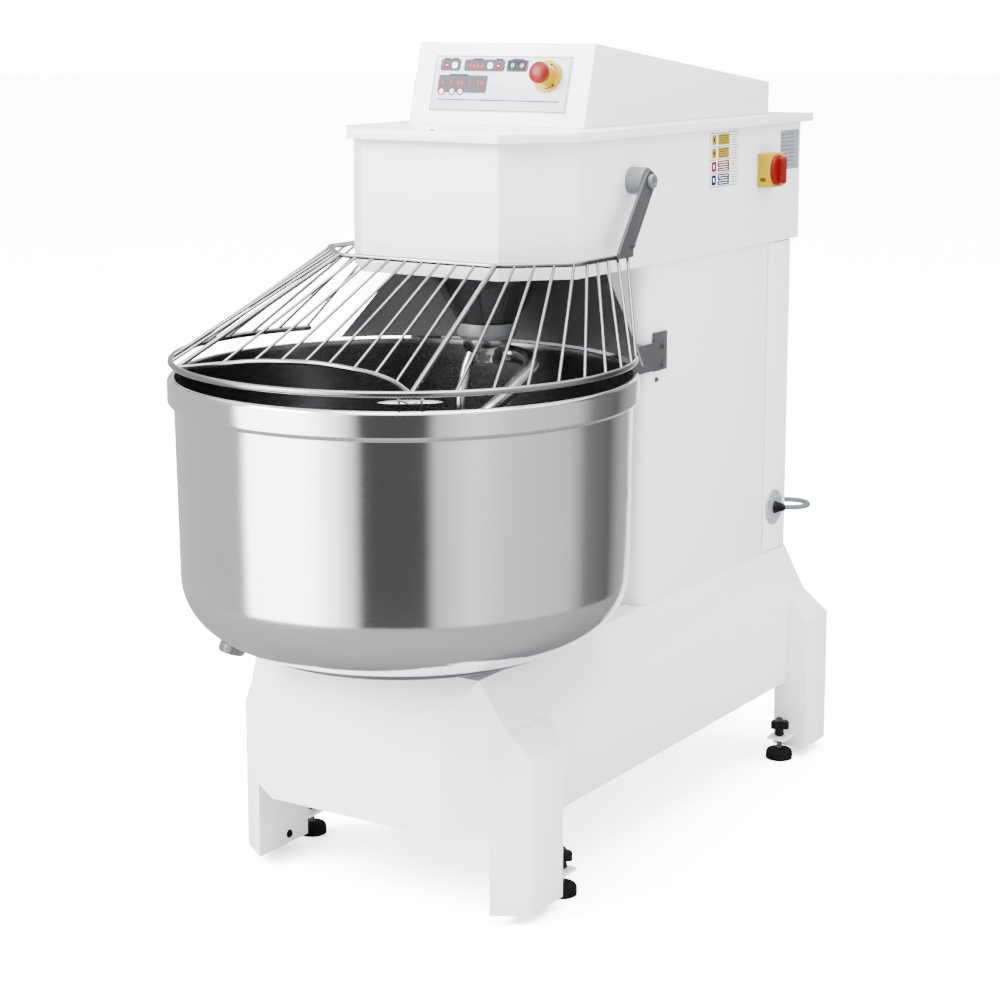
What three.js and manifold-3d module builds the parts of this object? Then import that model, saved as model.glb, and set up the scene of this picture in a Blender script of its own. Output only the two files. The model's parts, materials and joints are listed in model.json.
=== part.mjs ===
// Floor-standing spiral dough mixer, in millimetres, +Z up, +X to the machine's right, +Y to its back.
// Every piece is drawn in the machine frame, whose origin is on the floor under the bowl's axis. The
// exported group is then shifted so that the origin is the middle of the machine's footprint box.
import * as THREE from 'three';
import { ConvexGeometry } from 'three/addons/geometries/ConvexGeometry.js';
import { mergeVertices } from 'three/addons/utils/BufferGeometryUtils.js';
import Module from 'manifold-3d';

const wasm = await Module();
wasm.setup();

// ---------------------------------------------------------------- driving dimensions
const GAP = 0.3;                       // between pieces that rest on each other

const BOWL = {
  rim: 445, wall: 433, foot: 428, top: 1004, bandLow: 957, kneeZ: 625, bottom: 500, kneeR: 293, skin: 3,
};
const BASE = {
  top: 473, plate: 18, skirt: 172, wall: 4, side: 302, shoulder: 256, front: -174, back: 1150,
  noseHalf: 197, noseTop: 388, sideTop: 370, topFront: -128,
};
const LEG = {
  low: 20, high: 320, inner: 272, frontOuter: 337, rearOuter: 350, frontBack: 31, rearFront: 1066, rearBack: 1172,
};
const COLUMN = { half: 256, front: 475, back: 1040, top: 1175, wall: 4, corner: 30 };
const COVER = { half: 258.5, front: 1019, back: 1134, wall: 2.2 };
const HEAD = {
  half: 262, front: 83, noseHalf: 157, flankFront: 198, back: 1159,
  low: COLUMN.top + GAP, high: 1447.6, wall: 4, floor: 6,
};
const DECK = { half: 273, front: 57, noseHalf: 173, flankFront: 190, back: 1199, low: 1433, top: 1451, skin: 3 };
const CONSOLE = {
  half: 206, frontLow: 310, frontHigh: 355, back: 1110, high: 1613, backHigh: 1521, wall: 3,
};
const PANEL = { width: 320, height: 113, thick: 2, midZ: 1532.5 };
const TOOL = { y: 285, shaft: 25, sweep: 112, bar: 17 };
const HINGE = { y: 400, z: 1349 };
const GUARD = { topZ: 1210, ringZ: 1033, ringR: 437, ringEnd: 118, rod: 5, ring: 6, thin: 3 };
const SHIELD = { low: 1006, high: 1172, lowR: 456, highR: 417, lowEnd: 52.3, highEnd: 35.5, skin: 2 };
const ROLLER = { x: 231, radius: 20, low: 960, high: 1000, clear: 0.4, strapIn: 27.3, strapOut: 32.3, pin: 5 };
const PLATE = { front: 498, back: 551, low: 958, high: 1037, shelfLow: 1011, shelfHigh: 1017 };
const WHEEL = {
  radius: 30, width: 30, z: 39, axle: 6, frontX: 304.5, frontY: -30, rearX: 315, rearY: 1119,
};
const FOOT = { x: 302, frontY: 84, rearY: 1035, radius: 30, padHigh: 24, stem: 6 };
const TAB = { low: 46, high: 51, half: 22, frontWall: 29, rearWall: 1068, hole: 6.5 };
const KEY = { radius: 6.5, y: 37, startX: 25, stopX: 47, travel: 1 };
const ESTOP = { x: 109, y: 16, disc: 32, neck: 12, neckHigh: 17, stemHigh: 27, cap: 22, capHigh: 16 };
const ISOLATOR = { y: 984.5, z: 1336, side: 73, depth: 28, knob: 33, grip: 29, gripHalf: 8, gripHigh: 20 };
const INLET = { y: 1065.5, z: 572.8, radius: 40, face: 5, turn: THREE.MathUtils.degToRad(30), relief: 22 };
const CORD = { radius: 6, coilX: -55, coilY: 1330, coilR: 75 };
const FOOTPRINT_MID = (DECK.back - BOWL.rim) / 2;

// ---------------------------------------------------------------- materials
function paint(color, roughness, metalness = 0) {
  return new THREE.MeshStandardMaterial({ color, roughness, metalness });
}
const MAT = {
  white: paint(0xeeeff1, 0.35),
  steel: paint(0xc8cacd, 0.18, 1),
  dull: paint(0x8f9296, 0.4, 1),
  dark: paint(0x3c3e41, 0.45, 0.8),
  cast: paint(0xa9abae, 0.45, 0.7),
  black: paint(0x151515, 0.6),
  rubber: paint(0x101010, 0.9),
  red: paint(0xc8201c, 0.35),
  green: paint(0x0f7a4d, 0.4),
  yellow: paint(0xf2c40f, 0.4),
  panel: paint(0xdfe3ea, 0.3),
  lead: paint(0x7f8a91, 0.6),
};

// ---------------------------------------------------------------- geometry helpers
function signedVolume(positions, index) {
  const a = new THREE.Vector3();
  const b = new THREE.Vector3();
  const c = new THREE.Vector3();
  let volume = 0;
  for (let i = 0; i < index.count; i += 3) {
    a.fromBufferAttribute(positions, index.getX(i));
    b.fromBufferAttribute(positions, index.getX(i + 1));
    c.fromBufferAttribute(positions, index.getX(i + 2));
    volume += a.dot(b.cross(c)) / 6;
  }
  return volume;
}

// A closed three.js geometry as a manifold solid with its faces pointing out.
function solid(geometry) {
  const bare = geometry.clone();
  bare.deleteAttribute('normal');
  bare.deleteAttribute('uv');
  const merged = mergeVertices(bare, 1e-3);
  const inward = signedVolume(merged.attributes.position, merged.index) < 0;
  const triangles = [];
  for (let i = 0; i < merged.index.count; i += 3) {
    const [a, b, c] = [0, 1, 2].map((k) => merged.index.getX(i + k));
    if (a !== b && b !== c && c !== a) triangles.push(a, ...(inward ? [c, b] : [b, c]));
  }
  return new wasm.Manifold(new wasm.Mesh({
    numProp: 3,
    vertProperties: new Float32Array(merged.attributes.position.array),
    triVerts: new Uint32Array(triangles),
  }));
}

function geometryOf(manifold) {
  const mesh = manifold.getMesh();
  const geometry = new THREE.BufferGeometry();
  geometry.setAttribute('position', new THREE.BufferAttribute(new Float32Array(mesh.vertProperties), 3));
  geometry.setIndex(new THREE.BufferAttribute(new Uint32Array(mesh.triVerts), 1));
  geometry.computeVertexNormals();
  return geometry;
}

const mirrored = (points) => points.map(([x, ...rest]) => [-x, ...rest]);
const bothSides = (points) => [...points, ...mirrored(points)];
const mirrorX = (geometry) => geometryOf(solid(geometry.clone().scale(-1, 1, 1)));
const join = (...pieces) => geometryOf(pieces.map(solid).reduce((sum, piece) => sum.add(piece)));
function cut(body, ...tools) {
  return geometryOf(tools.map(solid).reduce((rest, tool) => rest.subtract(tool), solid(body)));
}

function box(x0, x1, y0, y1, z0, z1) {
  const geometry = new THREE.BoxGeometry(x1 - x0, y1 - y0, z1 - z0);
  return geometry.translate((x0 + x1) / 2, (y0 + y1) / 2, (z0 + z1) / 2);
}

const hull = (points) => new ConvexGeometry(points.map((p) => new THREE.Vector3(...p)));

function outline(points, holes = []) {
  const shape = new THREE.Shape(points.map((p) => new THREE.Vector2(...p)));
  shape.holes = holes.map((hole) => new THREE.Path(hole.map((p) => new THREE.Vector2(...p))));
  return shape;
}

const flat = (depth) => ({ depth, bevelEnabled: false, curveSegments: 6 });

// An outline in X and Y, raised from z0 to z1.
function prism(points, z0, z1, holes) {
  return new THREE.ExtrudeGeometry(outline(points, holes), flat(z1 - z0)).translate(0, 0, z0);
}

// An outline in Y and Z, carried along X from x0 to x1.
function sidePrism(points, x0, x1, holes) {
  const geometry = new THREE.ExtrudeGeometry(outline(points, holes), flat(x1 - x0));
  return geometry.rotateX(Math.PI / 2).rotateZ(Math.PI / 2).translate(x0, 0, 0);
}

// A profile of [radius, z] points turned about the Z axis at (x, y).
function turned(profile, segments, x = 0, y = 0) {
  const closed = [...profile, profile[0]].map((p) => new THREE.Vector2(...p));
  const geometry = new THREE.LatheGeometry(closed, segments);
  return geometry.rotateX(Math.PI / 2).translate(x, y, 0);
}

function drum(r, z0, z1, segments, x = 0, y = 0) {
  return turned([[0, z0], [r, z0], [r, z1], [0, z1]], segments, x, y);
}
function ring(r0, r1, z0, z1, segments, x = 0, y = 0) {
  return turned([[r0, z0], [r1, z0], [r1, z1], [r0, z1]], segments, x, y);
}

// Turns a geometry drawn along +Z so that it runs along +X (or -X), from x at the height and depth given.
function alongX(geometry, x, y, z, side = 1) {
  return geometry.rotateY((side * Math.PI) / 2).translate(x, y, z);
}

function circle(x, y, r, count, start = 0, sweep = 2 * Math.PI, open = false) {
  const steps = open ? count - 1 : count;
  return Array.from({ length: count }, (_, i) => {
    const angle = start + (sweep * i) / steps;
    return [x + r * Math.cos(angle), y + r * Math.sin(angle)];
  });
}

// A round bar from one point to another.
function bar(from, to, radius, sides = 5) {
  const [a, b] = [new THREE.Vector3(...from), new THREE.Vector3(...to)];
  const axis = b.clone().sub(a);
  const geometry = new THREE.CylinderGeometry(radius, radius, axis.length(), sides);
  const turn = new THREE.Quaternion().setFromUnitVectors(new THREE.Vector3(0, 1, 0), axis.normalize());
  return geometry.applyQuaternion(turn).translate(...a.add(b).multiplyScalar(0.5).toArray());
}

// A round bar bent along a smooth curve through the points.
function bentBar(points, radius, sides, steps) {
  const path = new THREE.CatmullRomCurve3(points.map((p) => new THREE.Vector3(...p)));
  const section = outline(circle(0, 0, radius, sides));
  return new THREE.ExtrudeGeometry(section, { steps, bevelEnabled: false, extrudePath: path });
}

// A thin sheet: surface(u, v) is its outer face and back(u, v) its inner face, both over 0 to 1.
function sheet(surface, back, columns, rows) {
  const positions = [];
  for (const face of [surface, back]) {
    for (let j = 0; j <= rows; j++) {
      for (let i = 0; i <= columns; i++) {
        positions.push(...face(i / columns, j / rows));
      }
    }
  }
  const layer = (columns + 1) * (rows + 1);
  const at = (i, j, k) => k * layer + j * (columns + 1) + i;
  const index = [];
  const quad = (a, b, c, d) => index.push(a, b, c, a, c, d);
  for (let j = 0; j < rows; j++) {
    for (let i = 0; i < columns; i++) {
      quad(at(i, j, 0), at(i + 1, j, 0), at(i + 1, j + 1, 0), at(i, j + 1, 0));
      quad(at(i, j, 1), at(i, j + 1, 1), at(i + 1, j + 1, 1), at(i + 1, j, 1));
    }
    quad(at(0, j, 0), at(0, j + 1, 0), at(0, j + 1, 1), at(0, j, 1));
    quad(at(columns, j, 0), at(columns, j, 1), at(columns, j + 1, 1), at(columns, j + 1, 0));
  }
  for (let i = 0; i < columns; i++) {
    quad(at(i, 0, 0), at(i, 0, 1), at(i + 1, 0, 1), at(i + 1, 0, 0));
    quad(at(i, rows, 0), at(i + 1, rows, 0), at(i + 1, rows, 1), at(i, rows, 1));
  }
  const geometry = new THREE.BufferGeometry();
  geometry.setAttribute('position', new THREE.Float32BufferAttribute(positions, 3));
  geometry.setIndex(index);
  return geometryOf(solid(geometry));
}

const mixer = new THREE.Group();
mixer.position.y = -FOOTPRINT_MID;
function add(name, geometry, material, parent = mixer) {
  const mesh = new THREE.Mesh(geometry, material);
  mesh.name = name;
  parent.add(mesh);
  return mesh;
}

// ---------------------------------------------------------------- base with its four legs
const UNDERCUT = 5;                    // how far a hollow runs out of the open underside
const SLANT = 1.15;                    // inset of a slanted face, measured along Y
const CORNER_CUT = { run: 94, width: 140 };
// The base's front corners are cut off at a slant; this is where the cut's face lies at a given x.
function chamferY(x) {
  return BASE.front + ((x - BASE.noseHalf) * CORNER_CUT.run) / CORNER_CUT.width;
}

// The outer form of the base. With an inset it is the room inside its sheet metal, and with a negative one
// it is the base grown by a little, to keep a leg clear of it.
function baseBody(inset) {
  const [side, shoulder] = [BASE.side - inset, BASE.shoulder - inset];
  const [front, back] = [BASE.front + inset, BASE.back - inset];
  const low = inset > 0 ? BASE.skirt - UNDERCUT : BASE.skirt + inset;
  const top = BASE.top - (inset > 0 ? BASE.plate : inset);
  const corner = inset * SLANT;
  return hull(bothSides([
    [BASE.noseHalf, front, low], [side, chamferY(side) + corner, low], [side, back, low],
    [BASE.noseHalf, front, BASE.noseTop - inset],
    [side, chamferY(side) + corner, BASE.sideTop - inset],
    [side, back, BASE.sideTop - inset],
    [shoulder, chamferY(BASE.shoulder) + corner, top],
    [shoulder, BASE.back - 16 - inset, top],
    [shoulder - 8, BASE.topFront + inset, top],
  ]));
}

function leg({ outer, front, back, topBack }, inset) {
  const inner = LEG.inner + inset;
  const shell = outer - inset;
  const low = inset ? LEG.low - UNDERCUT : LEG.low;
  const top = BASE.sideTop + 2 - 2 * inset;
  const frontAt = (x) => (front === undefined ? chamferY(x) + inset * SLANT : front + inset);
  return hull([
    [inner, frontAt(inner), low], [shell, frontAt(shell), low],
    [shell, back - inset, low], [inner, back - inset, low],
    [shell, frontAt(shell), LEG.high - inset], [shell, back - inset, LEG.high - inset],
    [BASE.side - inset, frontAt(BASE.side), top], [BASE.side - inset, topBack - inset, top],
    [inner, frontAt(inner), top], [inner, topBack - inset, top],
  ]);
}

// A front leg follows the slanted corner, so it has no front of its own.
const FRONT_LEG = { outer: LEG.frontOuter, back: LEG.frontBack, topBack: LEG.frontBack };
const REAR_LEG = { outer: LEG.rearOuter, front: LEG.rearFront, back: LEG.rearBack, topBack: BASE.back };
const WHEELS = [
  { name: 'wheel_front_right', x: WHEEL.frontX, y: WHEEL.frontY },
  { name: 'wheel_front_left', x: -WHEEL.frontX, y: WHEEL.frontY },
  { name: 'wheel_rear_right', x: WHEEL.rearX, y: WHEEL.rearY },
  { name: 'wheel_rear_left', x: -WHEEL.rearX, y: WHEEL.rearY },
];
const FEET = [
  { name: 'front_right', x: FOOT.x, y: FOOT.frontY },
  { name: 'front_left', x: -FOOT.x, y: FOOT.frontY },
  { name: 'rear_right', x: FOOT.x, y: FOOT.rearY },
  { name: 'rear_left', x: -FOOT.x, y: FOOT.rearY },
];

const SPINDLE_HOLE = 62;
const spindleHole = drum(SPINDLE_HOLE, BASE.top - 40, BASE.top + 10, 32);
add('base_frame', cut(baseBody(0), baseBody(BASE.wall), spindleHole), MAT.white);

// A right-hand leg is a pressed channel welded to the base's side, closed all round below the skirt. It carries
// its wheel's axle and a tab with the hole for its levelling foot.
function legChannel(form, wheelY, footY) {
  const shell = cut(leg(form, 0), leg(form, BASE.wall), baseBody(-GAP));
  const axle = bar(
    [LEG.inner + 1, wheelY, WHEEL.z],
    [form.outer - BASE.wall / 2, wheelY, WHEEL.z],
    WHEEL.axle,
    12,
  );
  const behindWheel = footY > wheelY;
  const tabFront = behindWheel ? TAB.frontWall : footY - TAB.half;
  const tabBack = behindWheel ? footY + TAB.half : TAB.rearWall;
  const tab = cut(
    box(FOOT.x - TAB.half, FOOT.x + TAB.half, tabFront, tabBack, TAB.low, TAB.high),
    drum(TAB.hole, TAB.low - 5, TAB.high + 5, 16, FOOT.x, footY),
  );
  return join(shell, axle, tab);
}
const frontLeg = legChannel(FRONT_LEG, WHEEL.frontY, FOOT.frontY);
const rearLeg = legChannel(REAR_LEG, WHEEL.rearY, FOOT.rearY);
for (const [end, right] of [['front', frontLeg], ['rear', rearLeg]]) {
  add(`leg_${end}_right`, right, MAT.white);
  add(`leg_${end}_left`, mirrorX(right), MAT.white);
}

for (const w of WHEELS) {
  const half = WHEEL.width / 2;
  const bore = WHEEL.axle + 0.4;
  const profile = [[bore, -half], [WHEEL.radius - 3, -half], [WHEEL.radius, 4 - half],
    [WHEEL.radius, half - 4], [WHEEL.radius - 3, half], [bore, half]];
  add(w.name, alongX(turned(profile, 16), w.x, w.y, WHEEL.z), MAT.black);
}

// The three-lobed hand knob of a levelling screw, centred on its axis.
function knobOutline(x, y) {
  const count = 18;
  return Array.from({ length: count }, (_, i) => {
    const angle = (2 * Math.PI * i) / count;
    const reach = 17 + 6 * Math.cos(3 * angle);
    return [x + reach * Math.cos(angle), y + reach * Math.sin(angle)];
  });
}

for (const f of FEET) {
  const pad = [
    [0, 0], [FOOT.radius, 0], [FOOT.radius, 16], [FOOT.radius - 4, 22], [14, FOOT.padHigh], [0, FOOT.padHigh],
  ];
  add(`foot_pad_${f.name}`, turned(pad, 16, f.x, f.y), MAT.rubber);
  const stem = drum(FOOT.stem, FOOT.padHigh + GAP, 70, 12, f.x, f.y);
  const knob = join(drum(11, 54, 72, 16, f.x, f.y), prism(knobOutline(f.x, f.y), 71, 89));
  add(`foot_screw_${f.name}`, join(stem, knob), MAT.black);
}

// ---------------------------------------------------------------- column and its rear cover
function columnShell() {
  const { half, front, back, corner, wall } = COLUMN;
  const path = (h, y, r) => [
    ...circle(h - r, y + r, r, 6, 0, -Math.PI / 2, true),
    ...circle(-h + r, y + r, r, 6, -Math.PI / 2, -Math.PI / 2, true),
  ];
  const outer = path(half, front, corner);
  const inner = path(half - wall, front + wall, corner - wall).reverse();
  const points = [[half, back], ...outer, [-half, back], [-half + wall, back], ...inner, [half - wall, back]];
  return prism(points, BASE.top + GAP, COLUMN.top);
}
add('column_shell', columnShell(), MAT.white);

function rearCover() {
  const { half, front, back, wall } = COVER;
  const points = [
    [half, front], [half, back - 8], [half - 8, back], [-half + 8, back], [-half, back - 8], [-half, front],
    [-half + wall, front], [-half + wall, back - 8], [-half + 9, back - wall], [half - 9, back - wall],
    [half - wall, back - 8], [half - wall, front],
  ];
  return prism(points, BASE.top + 2, COLUMN.top - 2);
}
add('column_rear_cover', rearCover(), MAT.white);

// ---------------------------------------------------------------- head, deck and console
// The head and its deck share one plan: a rectangle whose front corners are cut off at a slant.
function planOutline({ half, front, noseHalf, flankFront, back }, inset) {
  const slide = inset * 0.42;
  const right = [
    [noseHalf - slide, front + inset], [half - inset, flankFront + slide], [half - inset, back - inset],
  ];
  return [...right, ...mirrored(right).reverse()];
}

function headShell() {
  const body = prism(planOutline(HEAD, 0), HEAD.low, HEAD.high);
  const room = prism(planOutline(HEAD, HEAD.wall), HEAD.low + HEAD.floor, HEAD.high + 10);
  const shaftHole = drum(60, HEAD.low - 10, HEAD.low + 20, 24, 0, TOOL.y);
  const beltHole = box(-180, 180, 620, 980, HEAD.low - 10, HEAD.low + 20);
  return cut(body, room, shaftHole, beltHole);
}
add('head_shell', headShell(), MAT.white);

add('head_deck', cut(
  prism(planOutline(DECK, 0), DECK.low, DECK.top),
  prism(planOutline(DECK, DECK.skin), DECK.low - 5, DECK.top - DECK.skin),
), MAT.white);

function consoleHousing() {
  const { half, frontLow, frontHigh, back, high, backHigh, wall } = CONSOLE;
  const low = DECK.top + GAP;
  const side = [[frontLow, low], [frontHigh, high], [back, backHigh], [back, low]];
  const body = sidePrism(side, -half, half);
  const room = sidePrism([
    [frontLow + wall, low - 5], [frontHigh + wall, high - wall],
    [back - wall, backHigh - wall], [back - wall, low - 5],
  ], -half + wall, half - wall);
  return cut(body, room);
}
add('console_housing', consoleHousing(), MAT.white);

// The sloping control panel has a frame of its own: X across, Y up the slope, Z out of the console.
const rise = CONSOLE.high - DECK.top - GAP;
const run = CONSOLE.frontHigh - CONSOLE.frontLow;
const panelFrame = new THREE.Group();
panelFrame.position.set(0, CONSOLE.frontLow + ((PANEL.midZ - DECK.top - GAP) / rise) * run, PANEL.midZ);
panelFrame.rotation.x = Math.atan2(rise, run);
mixer.add(panelFrame);

const panelFace = PANEL.thick + GAP;
const keyHole = (x) => drum(KEY.radius + 0.5, -2, 5, 16, x, KEY.y);
add('control_panel', cut(
  box(-PANEL.width / 2, PANEL.width / 2, -PANEL.height / 2, PANEL.height / 2, GAP, panelFace),
  keyHole(KEY.startX),
  keyHole(KEY.stopX),
), MAT.panel, panelFrame);
const keyLow = GAP + KEY.travel + 0.1;
add('start_key', drum(KEY.radius, keyLow, panelFace + 1, 16, KEY.startX, KEY.y), MAT.green, panelFrame);
add('stop_key', drum(KEY.radius, keyLow, panelFace + 1, 16, KEY.stopX, KEY.y), MAT.red, panelFrame);

// The emergency stop: a flat ring with a neck, the sliding stem inside it and the cap that turns on the stem.
const ringLow = panelFace + GAP;
const neckTop = ringLow + ESTOP.neckHigh;
const bore = ESTOP.neck + 0.5;
add('estop_ring', turned([
  [0, ringLow], [ESTOP.disc, ringLow], [ESTOP.disc, ringLow + 3], [bore + 4.5, ringLow + 3],
  [bore + 3.5, neckTop], [bore, neckTop], [bore, ringLow + 3], [0, ringLow + 3],
], 24, ESTOP.x, ESTOP.y), MAT.yellow, panelFrame);
const stemTop = ringLow + ESTOP.stemHigh;
add('estop_stem', drum(ESTOP.neck, ringLow + 10, stemTop, 20, ESTOP.x, ESTOP.y), MAT.dull, panelFrame);
add('estop_cap', turned([
  [0, stemTop + GAP], [ESTOP.cap - 3, stemTop + GAP], [ESTOP.cap, stemTop + 4], [ESTOP.cap - 2, stemTop + 11],
  [ESTOP.cap - 8, stemTop + 15], [0, stemTop + ESTOP.capHigh],
], 20, ESTOP.x, ESTOP.y), MAT.red, panelFrame);

// ---------------------------------------------------------------- main isolator on the head's right side
const isolatorX = HEAD.half + GAP;
function isolatorBox() {
  const h = ISOLATOR.side / 2;
  const { y, z, depth } = ISOLATOR;
  const body = box(isolatorX, isolatorX + depth, y - h, y + h, z - h, z + h);
  const padlockSlot = box(isolatorX + 5, isolatorX + 19, y - h - 5, y - h + 12, z - h + 13, z - h + 21);
  return cut(body, padlockSlot);
}
add('isolator_box', isolatorBox(), MAT.yellow);
const knobX = isolatorX + ISOLATOR.depth + GAP;
const knobDisc = turned([[0, 0], [ISOLATOR.knob, 0], [ISOLATOR.knob, 5], [ISOLATOR.knob - 3, 8], [0, 8]], 24);
function isolatorKnob() {
  const { y, z, grip, gripHalf, gripHigh } = ISOLATOR;
  const handle = box(knobX + 7, knobX + gripHigh, y - gripHalf, y + gripHalf, z - grip, z + grip);
  return join(alongX(knobDisc, knobX, y, z), handle);
}
add('isolator_knob', isolatorKnob(), MAT.red);

// ---------------------------------------------------------------- bowl, turntable and bowl drive
// A point on the bowl's rounded knee, from its bottom (turn 0) to its wall (turn 90 degrees).
function kneePoint(turn, offset = 0) {
  return [
    BOWL.kneeR + (BOWL.foot - BOWL.kneeR - offset) * Math.sin(turn),
    BOWL.kneeZ - (BOWL.kneeZ - BOWL.bottom - offset) * Math.cos(turn),
  ];
}

function bowlProfile() {
  const { rim, wall, top, bandLow, bottom, skin } = BOWL;
  const knee = (offset) => [0, 18, 36, 54, 72, 90].map((turn) => kneePoint(THREE.MathUtils.degToRad(turn), offset));
  const outside = [[0, bottom], ...knee(0), [wall, bandLow - 7], [rim, bandLow], [rim, top - 5], [rim - 4, top]];
  const inside = [[wall, top], [wall - skin, top - 4], ...knee(skin).reverse(), [0, bottom + skin]];
  return [...outside, ...inside];
}
add('bowl', turned(bowlProfile(), 48), MAT.steel);

// The drain leaves the knee square to its surface.
const DRAIN = { turn: 0.318, bearing: THREE.MathUtils.degToRad(-129.5), seat: 1.2, stub: 6, cap: 18 };
function bowlDrain() {
  const [r, z] = kneePoint(DRAIN.turn);
  const across = Math.sin(DRAIN.turn) / (BOWL.foot - BOWL.kneeR);
  const down = Math.cos(DRAIN.turn) / (BOWL.kneeZ - BOWL.bottom);
  const end = DRAIN.stub + DRAIN.cap;
  const profile = [[0, DRAIN.seat], [13, DRAIN.seat], [13, DRAIN.stub], [25, DRAIN.stub], [25, end], [0, end]];
  const piece = turned(profile, 24).rotateY(Math.PI - Math.atan2(across, down)).translate(r, 0, z);
  return piece.rotateZ(DRAIN.bearing);
}
add('bowl_drain', bowlDrain(), MAT.steel);

const SPINDLE = { radius: 35, low: 320 };
const HUB = { radius: 110, top: 488, table: 300 };
add('bowl_turntable', turned([
  [0, SPINDLE.low], [SPINDLE.radius, SPINDLE.low], [SPINDLE.radius, BASE.top + 1], [HUB.radius, BASE.top + 1],
  [HUB.radius, HUB.top], [HUB.table, HUB.top], [HUB.table, BOWL.bottom - GAP], [0, BOWL.bottom - GAP],
], 32), MAT.cast);
const bearingTop = BASE.top - BASE.plate - GAP;
add('bowl_bearing_housing', turned([
  [SPINDLE.radius + 1, 395], [70, 395], [75, 425], [120, 432], [120, bearingTop], [SPINDLE.radius + 1, bearingTop],
], 20), MAT.cast);

const BOWL_DRIVE = { wheel: 160, pinion: 40, y: 480, low: 330, high: 365, belt: 7 };
const SPIRAL_DRIVE = { wheel: 170, pinion: 60, y: 800, low: 1236, high: 1280, belt: 8 };
const BELT_SEAT = 1.1;                 // clears the belt's straight facets from the pulleys' corners
function belt(near, drive, low, high) {
  const loop = (extra) => {
    const [r0, r1] = [drive.wheel + extra, drive.pinion + extra];
    const tilt = Math.acos((r0 - r1) / (drive.y - near));
    const up = Math.PI / 2;
    return [
      ...circle(0, near, r0, 28, up + tilt, 2 * Math.PI - 2 * tilt, true),
      ...circle(0, drive.y, r1, 14, up - tilt, 2 * tilt, true),
    ];
  };
  return prism(loop(BELT_SEAT + drive.belt), low, high, [loop(BELT_SEAT)]);
}
const pulley = (radius, bore, low, high, x, y) => ring(bore, radius, low, high, 28, x, y);
const { low: beltLow, high: beltHigh } = BOWL_DRIVE;
add('bowl_pulley', pulley(BOWL_DRIVE.wheel, SPINDLE.radius + GAP, beltLow, beltHigh), MAT.cast);
add('bowl_belt', belt(0, BOWL_DRIVE, beltLow + 4, beltHigh - 4), MAT.rubber);
add('bowl_motor_pulley', join(
  drum(BOWL_DRIVE.pinion, beltLow, beltHigh, 24, 0, BOWL_DRIVE.y),
  drum(14, 319, beltLow + 1, 16, 0, BOWL_DRIVE.y),
), MAT.cast);

// A motor stands on end under its pulley, with a nose at its top and a terminal box on its right.
const BOWL_MOTOR = {
  radius: 85, low: 190, high: 310, nose: 50, noseHigh: 318, reach: 130, boxHalf: 40, boxLow: 215, boxHigh: 285,
};
const SPIRAL_MOTOR = {
  radius: 130, low: 790, high: 1120, nose: 80, noseHigh: 1140, reach: 190, boxHalf: 60, boxLow: 880, boxHigh: 1000,
};
function motor({ radius, low, high, nose, noseHigh, reach, boxHalf, boxLow, boxHigh }, y) {
  return join(
    drum(radius, low, high, 36, 0, y),
    drum(nose, high - 1, noseHigh, 24, 0, y),
    box(radius - 30, reach, y - boxHalf, y + boxHalf, boxLow, boxHigh),
  );
}
add('bowl_motor', motor(BOWL_MOTOR, BOWL_DRIVE.y), MAT.dark);

// ---------------------------------------------------------------- spiral drive, housing and tool
const { wheel: spiralWheel, low: spiralLow, high: spiralHigh } = SPIRAL_DRIVE;
add('spiral_pulley', pulley(spiralWheel, TOOL.shaft + GAP, spiralLow, spiralHigh, 0, TOOL.y), MAT.cast);
add('spiral_belt', belt(TOOL.y, SPIRAL_DRIVE, spiralLow + 4, spiralHigh - 4), MAT.rubber);
add('spiral_motor_pulley', join(
  drum(SPIRAL_DRIVE.pinion, spiralLow, spiralHigh, 28, 0, SPIRAL_DRIVE.y),
  drum(19, 1141, spiralLow + 1, 16, 0, SPIRAL_DRIVE.y),
), MAT.cast);
add('spiral_motor', motor(SPIRAL_MOTOR, SPIRAL_DRIVE.y), MAT.dark);

const HOUSING = { flange: 118, waist: 56, low: 1066, bore: TOOL.shaft + 1 };
const COLLAR = { low: 1034, radius: 60 };
const housingTop = COLUMN.top - GAP;
add('spiral_housing', turned([
  [HOUSING.bore, HOUSING.low], [HOUSING.waist, HOUSING.low], [100, 1143], [HOUSING.flange, 1160],
  [HOUSING.flange, housingTop], [HOUSING.bore, housingTop],
], 24, 0, TOOL.y), MAT.dark);
add('spiral_collar', turned([
  [HOUSING.bore, COLLAR.low], [COLLAR.radius - 6, COLLAR.low], [COLLAR.radius, COLLAR.low + 8],
  [COLLAR.radius, HOUSING.low - GAP], [HOUSING.bore, HOUSING.low - GAP],
], 24, 0, TOOL.y), MAT.cast);

function toolPoint(radius, degrees, z) {
  const angle = THREE.MathUtils.degToRad(degrees);
  return [radius * Math.cos(angle), TOOL.y + radius * Math.sin(angle), z];
}

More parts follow.
